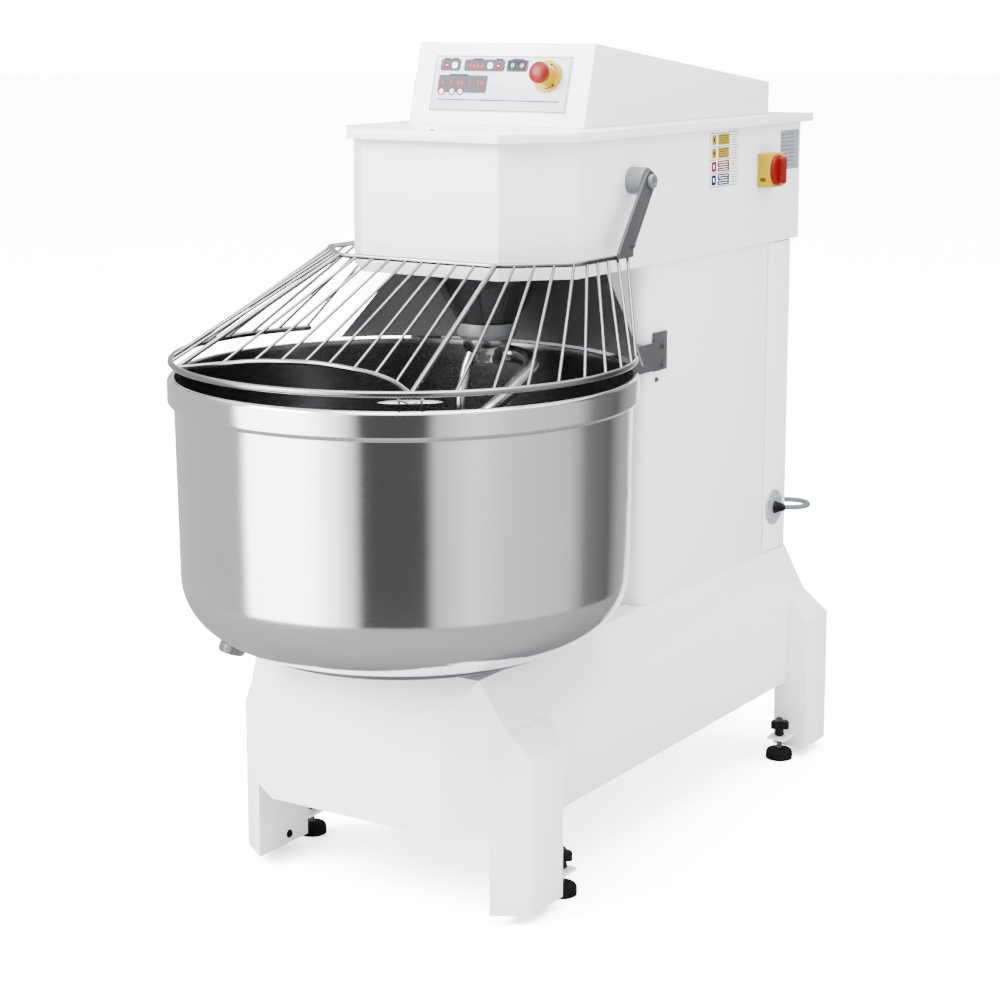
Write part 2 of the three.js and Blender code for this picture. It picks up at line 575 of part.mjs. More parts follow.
// The hook leaves the hub, swings out to its full sweep and winds down, tucking in over its last stretch. It is
// one weldment with its shaft and with the straighter core bar that hangs inside the coil.
const HOOK = { top: 990, drop: 444, turn: 282, steps: 11, tuck: 34, tuckFrom: 0.72, shaftTop: 1300, core: 11 };
const CORE_POINTS = [
  [-15, 252, 1004], [-18, 240, 980], [-14, 222, 950], [-11, 206, 912], [-9, 206, 868], [-8, 213, 815],
  [-8, 220, 720], [-8, 222, 610],
];
function spiralHook() {
  const shaft = drum(TOOL.shaft, COLLAR.low - 10, HOOK.shaftTop, 24, 0, TOOL.y);
  const hub = turned([
    [0, HOOK.top - 4], [34, HOOK.top - 4], [40, 1004], [48, 1018], [48, COLLAR.low - GAP], [0, COLLAR.low - GAP],
  ], 20, 0, TOOL.y);
  const coil = [toolPoint(20, 20, 1004), toolPoint(62, 14, 1002)];
  for (let i = 0; i <= HOOK.steps; i++) {
    const share = i / HOOK.steps;
    const tuck = Math.max(0, share - HOOK.tuckFrom) / (1 - HOOK.tuckFrom);
    const radius = TOOL.sweep - HOOK.tuck * tuck * tuck;
    coil.push(toolPoint(radius, -6 - HOOK.turn * share, HOOK.top - HOOK.drop * share ** 0.92));
  }
  const arm = bentBar(coil, TOOL.bar, 8, 34);
  const foot = new THREE.SphereGeometry(TOOL.bar, 8, 5).translate(...coil[coil.length - 1]);
  const core = bentBar(CORE_POINTS, HOOK.core, 8, 14);
  return join(shaft, hub, arm, foot, core);
}
add('spiral_hook', spiralHook(), MAT.steel);

// ---------------------------------------------------------------- rear shield round the back of the bowl
function shieldFace(extra) {
  return (u, v) => {
    const end = THREE.MathUtils.lerp(SHIELD.lowEnd, SHIELD.highEnd, v);
    const angle = THREE.MathUtils.degToRad(end * (2 * u - 1));
    const radius = THREE.MathUtils.lerp(SHIELD.lowR, SHIELD.highR, v) + extra;
    return [radius * Math.sin(angle), radius * Math.cos(angle), THREE.MathUtils.lerp(SHIELD.low, SHIELD.high, v)];
  };
}
add('rear_shield', sheet(shieldFace(0), shieldFace(-SHIELD.skin), 20, 1), MAT.dark);

// ---------------------------------------------------------------- rim guide rollers
// Each roller hangs on a pin in a bracket: a strap bent round it, a web, a fixing plate and a curved shelf.
const rollerY = Math.sqrt((BOWL.rim + ROLLER.radius + ROLLER.clear) ** 2 - ROLLER.x ** 2);
function rollerBracket() {
  const [inner, outer] = [ROLLER.x + ROLLER.strapIn, ROLLER.x + ROLLER.strapOut];
  const wrap = THREE.MathUtils.degToRad(-52);
  const strap = prism([
    [inner, PLATE.back], [outer, PLATE.back],
    ...circle(ROLLER.x, rollerY, ROLLER.strapOut, 8, 0, wrap, true),
    ...circle(ROLLER.x, rollerY, ROLLER.strapIn, 8, wrap, -wrap, true),
  ], ROLLER.low, BOWL.top);
  const web = box(inner, outer, rollerY + 24, PLATE.front + 2, BOWL.top - 1, PLATE.shelfHigh);
  const plate = box(inner, outer, PLATE.front, PLATE.back, PLATE.low, PLATE.high);
  const shelfPlate = box(205, inner + 1, rollerY - 24, rollerY + 60, PLATE.shelfLow, PLATE.shelfHigh);
  const shelf = cut(shelfPlate, drum(SHIELD.lowR + 3, PLATE.shelfLow - 10, PLATE.shelfHigh + 10, 96));
  const pin = drum(ROLLER.pin, ROLLER.low - 3, PLATE.shelfLow + 1, 12, ROLLER.x, rollerY);
  return join(strap, web, plate, shelf, pin);
}
for (const [name, side] of [['right', 1], ['left', -1]]) {
  const bracket = rollerBracket();
  add(`roller_bracket_${name}`, side > 0 ? bracket : mirrorX(bracket), MAT.steel);
  const roller = ring(ROLLER.pin + 0.4, ROLLER.radius, ROLLER.low, ROLLER.high, 24, side * ROLLER.x, rollerY);
  add(`rim_roller_${name}`, roller, MAT.cast);
}

// ---------------------------------------------------------------- lifting guard
const TOP_CORNER = [180, 38];
const TOP_FLANK = [[293, 153], [293, 331]];
const flankPath = [TOP_CORNER, ...TOP_FLANK].map((p) => new THREE.Vector2(...p));
function alongFlank(distance) {
  const first = flankPath[0].distanceTo(flankPath[1]);
  const corner = distance < first ? 0 : 1;
  const [from, to] = [flankPath[corner], flankPath[corner + 1]];
  return from.clone().lerp(to, (distance - corner * first) / from.distanceTo(to));
}
function ringPoint(degrees, side = 1) {
  const angle = THREE.MathUtils.degToRad(degrees);
  return [side * GUARD.ringR * Math.sin(angle), -GUARD.ringR * Math.cos(angle), GUARD.ringZ];
}
const RIB_FOOT = 36.8;
const FEED_ARC = [[0, -272, 1054], [82, -271, 1050], [136, -281, 1047], [195, -301, 1040]];
const FRONT_BARS = [[19, 27], [57.5, 82], [96, 136], [136, 195]];
const FLANK_BARS = 9;
const FLANK_PITCH = 37.6;

function guardCage() {
  const steps = 24;
  const ringPoints = Array.from({ length: steps + 1 }, (_, i) => ringPoint(GUARD.ringEnd * ((2 * i) / steps - 1)));
  const feed = [ringPoint(-RIB_FOOT), ...mirrored(FEED_ARC.slice(1)).reverse(), ...FEED_ARC, ringPoint(RIB_FOOT)];
  const feedPoints = new THREE.CatmullRomCurve3(feed.map((p) => new THREE.Vector3(...p))).getPoints(400);
  const nearer = (x) => (best, p) => (Math.abs(p.x - x) < Math.abs(best.x - x) ? p : best);
  const feedAt = (x) => feedPoints.reduce(nearer(x)).toArray();
  const rods = [bentBar(ringPoints, GUARD.ring, 6, 36), bentBar(feed, GUARD.rod, 6, 18)];
  const corner = [...TOP_CORNER, GUARD.topZ];
  rods.push(bar([-corner[0] - 1, corner[1], corner[2]], [corner[0] + 1, corner[1], corner[2]], GUARD.rod, 6));
  for (const side of [1, -1]) {
    const mirror = ([x, y, z]) => [side * x, y, z];
    const elbow = [...TOP_FLANK[0], GUARD.topZ];
    const end = [TOP_FLANK[1][0], TOP_FLANK[1][1] + 8, GUARD.topZ];
    rods.push(bar(mirror(corner), mirror(elbow), GUARD.rod, 6), bar(mirror(elbow), mirror(end), GUARD.rod, 6));
    rods.push(...[corner, elbow].map((p) => new THREE.SphereGeometry(GUARD.rod, 6, 4).translate(...mirror(p))));
    rods.push(bar(mirror(corner), ringPoint(RIB_FOOT, side), GUARD.rod, 6));
    for (const [top, low] of FRONT_BARS) {
      rods.push(bar([side * top, TOP_CORNER[1], GUARD.topZ], feedAt(side * low), GUARD.thin));
    }
    for (let i = 1; i <= FLANK_BARS; i++) {
      const top = alongFlank(FLANK_PITCH * i);
      const low = ringPoint(RIB_FOOT + 1.3 + (i * (GUARD.ringEnd - RIB_FOOT - 2.3)) / FLANK_BARS, side);
      rods.push(bar([side * top.x, top.y, GUARD.topZ], low, GUARD.thin));
    }
  }
  return join(...rods);
}
add('guard_cage', guardCage(), MAT.steel);

// Each arm is a flat strap with a round end that turns on a pivot boss on the head's side.
const ARM = {
  x: TOP_FLANK[0][0] + GUARD.rod + GAP, thick: 6, round: 21, hole: 8.3, front: 281, back: 336, low: 1208,
};
const PIVOT = { radius: 27, pin: 8, cap: 14, capHigh: 8 };
function guardArm() {
  const upper = circle(HINGE.y, HINGE.z, ARM.round, 12, -Math.PI * 0.16, Math.PI * 1.02, true);
  const shoulder = ARM.low + 12;
  const strip = [...upper, [ARM.front, shoulder], [ARM.front, ARM.low], [ARM.back, ARM.low], [ARM.back, shoulder]];
  return sidePrism(strip, ARM.x, ARM.x + ARM.thick, [circle(HINGE.y, HINGE.z, ARM.hole, 16)]);
}
function guardPivot(side) {
  const reach = ARM.x - isolatorX - GAP;
  const capLow = reach + ARM.thick + 1;
  const profile = [
    [0, 0], [PIVOT.radius, 0], [PIVOT.radius, reach - 3], [PIVOT.radius - 3, reach], [PIVOT.pin, reach],
    [PIVOT.pin, capLow], [PIVOT.cap, capLow], [PIVOT.cap, capLow + PIVOT.capHigh], [0, capLow + PIVOT.capHigh],
  ];
  return alongX(turned(profile, 20), side * isolatorX, HINGE.y, HINGE.z, side);
}
for (const [name, side] of [['right', 1], ['left', -1]]) {
  add(`guard_arm_${name}`, side > 0 ? guardArm() : mirrorX(guardArm()), MAT.dull);
  add(`guard_pivot_${name}`, guardPivot(side), MAT.cast);
}

// ---------------------------------------------------------------- mains inlet, lead, coil and plug
const coverX = COVER.half + GAP;
const flange = turned([
  [0, 0], [INLET.radius, 0], [INLET.radius, 3], [INLET.radius - 3, INLET.face], [0, INLET.face],
], 24);
add('inlet_flange', alongX(flange, coverX, INLET.y, INLET.z), MAT.steel);

// The strain relief leans back from the flange; its root is a short seat with a flat against the flange.
const leanX = Math.cos(INLET.turn);
const leanY = Math.sin(INLET.turn);
const reliefStart = [coverX + INLET.face + GAP, INLET.y, INLET.z];
function strainRelief() {
  const cone = turned([[0, -6], [14, -6], [14, 6], [9, INLET.relief], [0, INLET.relief]], 20)
    .rotateY(Math.PI / 2).rotateZ(INLET.turn).translate(...reliefStart);
  const seat = box(-40, 0, -60, 60, -60, 60).translate(...reliefStart);
  return cut(cone, seat);
}
add('cable_strain_relief', strainRelief(), MAT.black);

const outAlong = (distance) => [reliefStart[0] + distance * leanX, INLET.y + distance * leanY, INLET.z];
const leadStart = outAlong(INLET.relief + GAP);
const bendStart = outAlong(INLET.relief + 6);
const BEND = 50;
const bendCentre = [bendStart[0] - BEND * leanY, bendStart[1] + BEND * leanX];
const bendPoints = [0.25, 0.5, 0.75, 1].map((share) => {
  const angle = INLET.turn - Math.PI / 2 + share * (Math.PI - INLET.turn);
  return [bendCentre[0] + BEND * Math.cos(angle), bendCentre[1] + BEND * Math.sin(angle), INLET.z - 3 * share];
});
const coilStart = [CORD.coilX + CORD.coilR + 7, CORD.coilY - 46, CORD.radius + 0.4];
const leadPoints = [
  leadStart, bendStart, ...bendPoints,
  [200, 1173, 561], [148, 1179, 532], [108, 1184, 486], [84, 1187, 425], [72, 1189, 355], [66, 1191, 280],
  [61, 1193, 205], [55, 1197, 130], [46, 1208, 68], [36, 1228, 26], [29, 1254, 8.4],
  [coilStart[0], coilStart[1] - 14, coilStart[2]], coilStart,
];
add('mains_lead', bentBar(leadPoints, CORD.radius, 8, 48), MAT.lead);
const COIL = { inner: CORD.coilR - 13, outer: CORD.coilR + 13, low: 0.2, high: 25.4 };
const coil = ring(COIL.inner, COIL.outer, COIL.low, COIL.high, 32, CORD.coilX, CORD.coilY + 2);
add('mains_lead_coil', coil, MAT.lead);

const PLUG = { radius: 28, length: 112, x: CORD.coilX - 104, y: CORD.coilY + 82 };
const plug = turned([
  [0, 0], [10, 0], [14, 20], [22, 46], [PLUG.radius, 60], [PLUG.radius, PLUG.length - 6],
  [PLUG.radius - 3, PLUG.length], [0, PLUG.length],
], 20);
add('mains_plug', plug.rotateY(-Math.PI / 2).translate(PLUG.x, PLUG.y, PLUG.radius + 0.2), MAT.red);

export default mixer;
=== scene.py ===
import json
from math import atan2, cos, pi, radians, sin, sqrt

import bmesh
import bpy
from mathutils import Matrix, Vector


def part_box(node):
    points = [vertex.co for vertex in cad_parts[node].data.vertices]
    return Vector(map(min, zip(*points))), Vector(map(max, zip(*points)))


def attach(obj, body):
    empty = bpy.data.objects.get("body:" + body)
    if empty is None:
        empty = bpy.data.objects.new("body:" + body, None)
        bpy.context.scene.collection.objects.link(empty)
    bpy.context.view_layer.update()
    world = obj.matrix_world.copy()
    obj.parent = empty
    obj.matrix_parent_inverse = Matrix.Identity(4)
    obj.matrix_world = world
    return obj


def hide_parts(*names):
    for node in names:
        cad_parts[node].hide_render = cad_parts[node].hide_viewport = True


# The looks of a floor-standing spiral dough mixer, built round its CAD frame.
# Shapes are given in millimetres in the machine frame: its origin is on the floor under the bowl's axis,
# +X is to the machine's right, +Y to its back and +Z up.
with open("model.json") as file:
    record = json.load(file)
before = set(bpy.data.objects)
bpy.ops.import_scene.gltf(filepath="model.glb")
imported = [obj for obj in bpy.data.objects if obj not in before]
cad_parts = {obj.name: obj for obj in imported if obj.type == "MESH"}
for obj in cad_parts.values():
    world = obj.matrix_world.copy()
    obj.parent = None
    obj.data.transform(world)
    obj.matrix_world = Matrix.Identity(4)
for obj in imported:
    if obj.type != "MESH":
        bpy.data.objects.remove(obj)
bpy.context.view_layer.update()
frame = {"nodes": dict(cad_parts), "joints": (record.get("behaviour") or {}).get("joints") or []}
nodes = frame["nodes"]
scene = bpy.context.scene

MM = 0.001


def corners(node):
    low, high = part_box(node)
    return Vector(low), Vector(high)


bowl_low, bowl_high = corners("bowl")
AXIS = Vector(((bowl_low.x + bowl_high.x) / 2, (bowl_low.y + bowl_high.y) / 2, 0))


def at(x, y, z):
    """A point of the machine frame, in the scene's metres."""
    return AXIS + Vector((x, y, z)) * MM


def place(x=0, y=0, z=0, out=(0, 0, 1), up=(0, 1, 0)):
    """A local frame in mm at a point of the machine frame: local Z runs along out and local Y near up."""
    along = Vector(out).normalized()
    across = Vector(up).cross(along).normalized()
    turn = Matrix((across, along.cross(across), along)).transposed().to_4x4()
    return Matrix.Translation(at(x, y, z)) @ turn @ Matrix.Scale(MM, 4)


def flank(side, x, y, z):
    """A frame on the right (1) or left (-1) side of the machine, looking straight out."""
    return place(side * x, y, z, (side, 0, 0), (0, 0, 1))


UPRIGHT = place()

# --- driving sizes, in millimetres
BOWL = {"rim": 445, "wall": 433, "foot": 428, "top": 1004, "band": 957, "knee_z": 625, "bottom": 500,
        "knee": 293}
TOOL_Y = 285
HOOK = {"top": 990, "drop": 444, "turn": 282, "steps": 11, "tuck": 34, "tuck_from": 0.72, "sweep": 112,
        "bar": 17}
GUARD = {"top": 1210, "ring_z": 1033, "ring": 437, "end": 118, "rod": 5, "hoop": 6, "thin": 3, "rib": 36.8}
SHIELD = {"low": 1006, "high": 1172, "low_r": 456, "high_r": 417, "low_end": 52.3, "high_end": 35.5,
          "skin": 2}
ROLLER = {"x": 231, "y": 404.03, "radius": 20, "low": 960, "high": 1000}
WHEEL = {"radius": 30, "width": 30, "axle_z": 39, "front_y": -30, "rear_y": 1119}
SCREW_X, SCREW_Y = 302, {"front": 84, "rear": 1035}
HEAD_HALF = 262
COLUMN_SIDE = 258.8
CORD = {"radius": 6, "coil_x": -55, "coil_y": 1330, "inner": 69, "outer": 82, "low": 6.4, "high": 18.8,
        "plug_y": 82}
INLET = {"y": 1065.5, "z": 572.8, "thick": 5, "turn": radians(30), "relief": 22, "bend": 50}
SHARP_ANGLE = radians(32)
GAP = 0.3


# --- material helpers
class Nodes:
    """A material's node tree with short calls for the nodes that the finishes use."""

    def __init__(self, name):
        self.material = bpy.data.materials.new(name)
        self.material.use_nodes = True
        self.tree = self.material.node_tree
        self.shader = self.tree.nodes["Principled BSDF"]
        self.place = self.add("TexCoord").outputs["Object"]

    def add(self, kind):
        return self.tree.nodes.new(f"ShaderNode{kind}")

    def link(self, source, target):
        self.tree.links.new(source, target)

    def scaled(self, scale):
        mapping = self.add("Mapping")
        mapping.inputs["Scale"].default_value = scale
        self.link(self.place, mapping.inputs["Vector"])
        return mapping.outputs["Vector"]

    def noise(self, scale, detail=3, stretch=(1, 1, 1)):
        node = self.add("TexNoise")
        node.inputs["Scale"].default_value = scale
        node.inputs["Detail"].default_value = detail
        self.link(self.scaled(stretch), node.inputs["Vector"])
        return node.outputs["Fac"]

    def range(self, source, low, high, start=0.3, end=0.7):
        node = self.add("MapRange")
        for name, value in (("From Min", start), ("From Max", end), ("To Min", low), ("To Max", high)):
            node.inputs[name].default_value = value
        self.link(source, node.inputs["Value"])
        return node.outputs["Result"]

    def mix(self, factor, one, other):
        node = self.add("Mix")
        node.data_type = "RGBA"
        self.link(factor, node.inputs["Factor"])
        node.inputs["A"].default_value = (*one, 1)
        node.inputs["B"].default_value = (*other, 1)
        return node.outputs["Result"]

    def bump(self, source, strength, distance):
        node = self.add("Bump")
        node.inputs["Strength"].default_value = strength
        node.inputs["Distance"].default_value = distance
        self.link(source, node.inputs["Height"])
        self.link(node.outputs["Normal"], self.shader.inputs["Normal"])

    def set(self, **values):
        for name, value in values.items():
            self.shader.inputs[name.replace("_", " ")].default_value = value


def tint(color, share):
    return tuple(min(1, c * share) for c in color)


def finish(name, color, rough, metal=0.0, *, vary, grain, stretch=(1, 1, 1), coat=0.0, shine=0.5):
    """A finish that drifts a little in colour and gloss. grain: its scale, strength and depth in metres."""
    made = Nodes(name)
    drift = made.noise(6, 2)
    made.link(made.mix(made.range(drift, 0, 1), tint(color, 1 - vary), tint(color, 1 + vary)),
              made.shader.inputs["Base Color"])
    scale, bump, depth = grain
    fine = made.noise(scale, 4, stretch)
    made.link(made.range(fine, rough * 0.85, rough * 1.15), made.shader.inputs["Roughness"])
    made.bump(fine, bump, depth)
    made.set(Metallic=metal, Coat_Weight=coat, Coat_Roughness=0.12, Specular_IOR_Level=shine)
    return made.material


WHITE = finish("white_powder_coat", (0.8, 0.805, 0.82), 0.34, vary=0.01, grain=(900, 0.12, 0.00006),
               coat=0.15)
STEEL = finish("polished_steel", (0.78, 0.785, 0.79), 0.12, 1, vary=0.02, grain=(30, 0.03, 0.00004),
               stretch=(1, 1, 30))
BRUSHED = finish("satin_steel", (0.1, 0.101, 0.104), 0.36, 0.6, vary=0.05, grain=(120, 0.03, 0.00003),
                 stretch=(8, 1, 1))
CHROME = finish("bright_plate", (0.5, 0.51, 0.53), 0.18, 0.6, vary=0.04, grain=(60, 0.05, 0.00005))
# The bowl's inner face: the same polished steel as its outside, painted much darker as painted shade and
# painted dark reflection inside the bowl.
INSIDE_PAINTED_SHADE = finish("bowl_inside_painted_shade_steel", (0.2, 0.2, 0.205), 0.22, 1, vary=0.06, grain=(24, 0.01, 0.0001),
                stretch=(1, 1, 24))
ROD = finish("guard_rod_steel", (0.26, 0.26, 0.265), 0.2, 1, vary=0.08, grain=(160, 0.04, 0.00005))
TOOL = finish("tool_steel", (0.36, 0.36, 0.365), 0.2, 1, vary=0.06, grain=(90, 0.06, 0.00006))
SHADE = finish("shield_steel", (0.085, 0.086, 0.088), 0.4, 0.35, vary=0.05, grain=(160, 0.05, 0.00006))
DARK = finish("dark_painted_steel", (0.035, 0.036, 0.038), 0.38, 0.5, vary=0.1, grain=(300, 0.1, 0.00008))
CAST = finish("machined_casting", (0.2, 0.205, 0.21), 0.42, 0.6, vary=0.08, grain=(220, 0.25, 0.0001))
MOTOR = finish("motor_enamel", (0.03, 0.035, 0.045), 0.4, 0.1, vary=0.1, grain=(260, 0.2, 0.0001))
BLACK = finish("black_moulding", (0.004, 0.004, 0.0045), 0.42, vary=0.2, grain=(700, 0.25, 0.0001),
               shine=0.12)
RUBBER = finish("black_rubber", (0.004, 0.004, 0.004), 0.75, vary=0.25, grain=(420, 0.35, 0.00015), shine=0.1)
RED = finish("red_plastic", (0.14, 0.002, 0.001), 0.34, vary=0.06, grain=(500, 0.05, 0.00005), shine=0.18)
GREEN = finish("green_plastic", (0.003, 0.06, 0.024), 0.32, vary=0.06, grain=(500, 0.05, 0.00005), shine=0.15)
YELLOW = finish("yellow_plastic", (0.36, 0.235, 0.0), 0.38, vary=0.05, grain=(500, 0.06, 0.00005), shine=0.2)
FILM = finish("membrane_film", (0.5, 0.505, 0.54), 0.3, vary=0.01, grain=(1400, 0.15, 0.00002), shine=0.3)
SHEATH = finish("grey_lead_sheath", (0.09, 0.115, 0.13), 0.5, vary=0.08, grain=(300, 0.12, 0.00008))


def ink(name, color, rough=0.4):
    return finish(name, color, rough, vary=0.03, grain=(1200, 0.03, 0.00001), shine=0.12)


INKS = {
    "grey": ink("ink_grey", (0.035, 0.042, 0.052)),
    "blue": ink("ink_blue", (0.004, 0.006, 0.045)),
    "red": ink("ink_red", (0.13, 0.003, 0.003)),
    "dark_red": ink("display_red", (0.04, 0.001, 0.001), 0.2),
    "glow": ink("display_lit", (0.2, 0.004, 0.004), 0.2),
    "white": ink("ink_white", (0.75, 0.75, 0.76)),
    "green": ink("ink_green", (0.01, 0.09, 0.045)),
    "line": ink("ink_line", (0.02, 0.026, 0.045)),
    "border": ink("ink_border", (0.035, 0.04, 0.05)),
    "yellow": ink("ink_yellow", (0.3, 0.2, 0.0)),
    "black": ink("ink_black", (0.008, 0.008, 0.009)),
    "light": ink("ink_light", (0.2, 0.205, 0.22)),
}


# --- mesh helpers
def made(name, bm, materials, smooth=35):
    """Turns a bmesh into an object with smooth faces and crisp edges."""
    bmesh.ops.recalc_face_normals(bm, faces=bm.faces)
    mesh = bpy.data.meshes.new(name)
    bm.to_mesh(mesh)
    bm.free()
    obj = bpy.data.objects.new(name, mesh)
    scene.collection.objects.link(obj)
    for material in materials if isinstance(materials, (list, tuple)) else [materials]:
        mesh.materials.append(material)
    mesh.shade_smooth()
    mesh.set_sharp_from_angle(angle=radians(smooth))
    return obj


def put(obj, body, slot, *replaced):
    """Rides a finished piece on its body and hides what it stands for."""
    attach(obj, body)
    if replaced:
        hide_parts(*replaced)
    return obj


def bend(first, corner, last, steps):
    """A smooth bend from first to last that leans towards the corner."""
    shares = [k / steps for k in range(steps + 1)]
    return [first * (1 - t) ** 2 + corner * (2 * t * (1 - t)) + last * t * t for t in shares]


def fillet(points, steps=4):
    """Rounds each corner of a profile that has a third value, the length its rounding takes off each side."""
    rounded = []
    for i, point in enumerate(points):
        if len(point) == 2:
            rounded.append(Vector(point))
            continue
        corner = Vector(point[:2])
        back = Vector(points[i - 1][:2]) - corner
        ahead = Vector(points[(i + 1) % len(points)][:2]) - corner
        first = corner + back.normalized() * point[2]
        last = corner + ahead.normalized() * point[2]
        rounded += bend(first, corner, last, steps)
    return rounded


def add_band(bm, a, b, index=0):
    """Faces between two matching closed rings of points."""
    for k in range(len(a)):
        n = (k + 1) % len(a)
        bm.faces.new((a[k], a[n], b[n], b[k])).material_index = index


def circle(count, radius, start=0.0):
    """Evenly spaced points on a circle round the local axis."""
    angles = [start + 2 * pi * k / count for k in range(count)]
    return [(radius * cos(a), radius * sin(a)) for a in angles]


def add_lathe(bm, profile, matrix, segments=64, closed=False, paint=0):
    """A [radius, z] profile turned about the local Z axis. An open profile starts and ends on the axis."""
    rings = []
    points = fillet(profile)
    for r, z in points:
        if r < 1e-6:
            rings.append([bm.verts.new(matrix @ Vector((0, 0, z)))])
            continue
        angles = [2 * pi * i / segments for i in range(segments)]
        rings.append([bm.verts.new(matrix @ Vector((r * cos(a), r * sin(a), z))) for a in angles])
    pairs = list(zip(range(len(points)), range(1, len(points))))
    if closed:
        pairs.append((len(points) - 1, 0))
    for i, j in pairs:
        a, b = rings[i], rings[j]
        middle = (points[i] + points[j]) / 2
        index = paint(middle.x, middle.y) if callable(paint) else paint
        for k in range(segments):
            n = (k + 1) % segments
            corner = [a[k % len(a)], a[n % len(a)], b[n % len(b)], b[k % len(b)]]
            unique = list(dict.fromkeys(corner))
            if len(unique) > 2:
                bm.faces.new(unique).material_index = index


def spline(points, per=12):
    """A centripetal Catmull-Rom curve through the points."""
    points = [Vector(p) for p in points]
    ends = [points[0] * 2 - points[1], *points, points[-1] * 2 - points[-2]]
    curve = []
    for p0, p1, p2, p3 in zip(ends, ends[1:], ends[2:], ends[3:]):
        t1 = max((p1 - p0).length ** 0.5, 1e-6)
        t2 = t1 + max((p2 - p1).length ** 0.5, 1e-6)
        t3 = t2 + max((p3 - p2).length ** 0.5, 1e-6)
        for k in range(per):
            t = t1 + (t2 - t1) * k / per
            a1 = p0 * ((t1 - t) / t1) + p1 * (t / t1)
            a2 = p1 * ((t2 - t) / (t2 - t1)) + p2 * ((t - t1) / (t2 - t1))
            a3 = p2 * ((t3 - t) / (t3 - t2)) + p3 * ((t - t2) / (t3 - t2))
            b1 = a1 * ((t2 - t) / t2) + a2 * (t / t2)
            b2 = a2 * ((t3 - t) / (t3 - t1)) + a3 * ((t - t1) / (t3 - t1))
            curve.append(b1 * ((t2 - t) / (t2 - t1)) + b2 * ((t - t1) / (t2 - t1)))
    return [*curve, points[-1]]


def add_tube(bm, path, radius, sides=12, index=0, matrix=None, dome=False):
    """A round bar along a path, with flat or domed ends. radius may be one value per point."""
    matrix = matrix or UPRIGHT
    path = [Vector(p) for p in path]
    radii = radius if isinstance(radius, list) else [radius] * len(path)
    if dome:
        arcs = [radians(a) for a in (80, 60, 35)]
        first, last = (path[0] - path[1]).normalized(), (path[-1] - path[-2]).normalized()
        head = [(path[0] + first * radii[0] * sin(a), radii[0] * cos(a)) for a in arcs]
        tail = [(path[-1] + last * radii[-1] * sin(a), radii[-1] * cos(a)) for a in reversed(arcs)]
        path = [p for p, _ in head] + path + [p for p, _ in tail]
        radii = [r for _, r in head] + radii + [r for _, r in tail]
    side = (path[1] - path[0]).orthogonal().normalized()
    rings = []
    for i, point in enumerate(path):
        along = (path[min(i + 1, len(path) - 1)] - path[max(i - 1, 0)]).normalized()
        side = (side - along * side.dot(along)).normalized()
        other = along.cross(side)
        angles = [2 * pi * k / sides for k in range(sides)]
        ring = [point + (side * cos(a) + other * sin(a)) * radii[i] for a in angles]
        rings.append([bm.verts.new(matrix @ p) for p in ring])
    for a, b in zip(rings, rings[1:]):
        add_band(bm, a, b, index)
    bm.faces.new(rings[0]).material_index = index
    bm.faces.new(rings[-1]).material_index = index


def add_ribs(bm, count, radius, low, high, thick, sides, matrix, index=0):
    """Round-ended grip ribs or pins standing in a ring."""
    for x, y in circle(count, radius):
        add_tube(bm, [(x, y, low), (x, y, high)], thick, sides, index, matrix, dome=True)


def add_prism(bm, outline, z0, z1, matrix, index=0, edge=0.0):
    """An outline raised along local Z, with its upper edge pulled in by edge."""
    middle = sum((Vector(p) for p in outline), Vector((0, 0))) / len(outline)
    layers = [(z0, 0), (z1 - edge, 0)]
    if edge:
        layers.append((z1, edge))
    rings = []
    for z, inset in layers:
        ring = []
        for p in outline:
            away = Vector(p) - middle
            pulled = middle + away * max(0, 1 - inset / max(away.length, 1e-6))
            ring.append(bm.verts.new(matrix @ Vector((pulled.x, pulled.y, z))))
        rings.append(ring)
    for a, b in zip(rings, rings[1:]):
        add_band(bm, a, b, index)
    bm.faces.new(rings[0]).material_index = index
    bm.faces.new(rings[-1]).material_index = index


def rounded_box(x, y, w, h, r, steps=4):
    """The outline of a rectangle with round corners, centred on a point."""
    outline = []
    for quarter, (sx, sy) in enumerate(((1, 1), (-1, 1), (-1, -1), (1, -1))):
        for k in range(steps + 1):
            a = pi / 2 * (quarter + k / steps)
            outline.append((x + sx * (w / 2 - r) + r * cos(a), y + sy * (h / 2 - r) + r * sin(a)))
    return outline


def add_bolt(bm, matrix, across=10, high=5, index=0):
    """A hexagon head on a round washer, standing on local Z."""
    add_lathe(bm, [[0, 0], [across * 0.72, 0], [across * 0.72, 1.2, 0.4], [0, 1.2]], matrix, 24, paint=index)
    add_prism(bm, circle(6, across / 2), 1.2, 1.2 + high, matrix, index, edge=0.8)


def turned(name, profile, spot, segments, material, body, slot, node, closed=False):
    """A piece that is one lathe of one material."""
    bm = bmesh.new()
    add_lathe(bm, profile, spot, segments, closed)
    return put(made(name, bm, material), body, slot, node)


def formed(node, body, slot, material, width, segments=3):
    """A CAD sheet or block with its edges rounded, as the real bent or moulded piece has them."""
    bm = bmesh.new()
    bm.from_mesh(nodes[node].data)
    bmesh.ops.remove_doubles(bm, verts=bm.verts, dist=2e-6)
    bmesh.ops.dissolve_limit(bm, angle_limit=radians(1.5), verts=bm.verts, edges=bm.edges)
    obj = made(f"{node}_formed", bm, material)
    return put(rounded(obj, width, segments), body, slot, node)


# --- camera
def camera():
    data = bpy.data.cameras.new("camera")
    obj = bpy.data.objects.new("camera", data)
    scene.collection.objects.link(obj)
    data.lens = 80.3
    data.sensor_width = 36
    data.shift_y = -0.1
    data.clip_end = 100
    obj.location = (2.4145, -3.7732, 1.6707)
    heading, pitch = radians(32.925), radians(9.845)
    obj.rotation_euler = (pi / 2 - pitch, 0, heading)
    scene.camera = obj


camera()


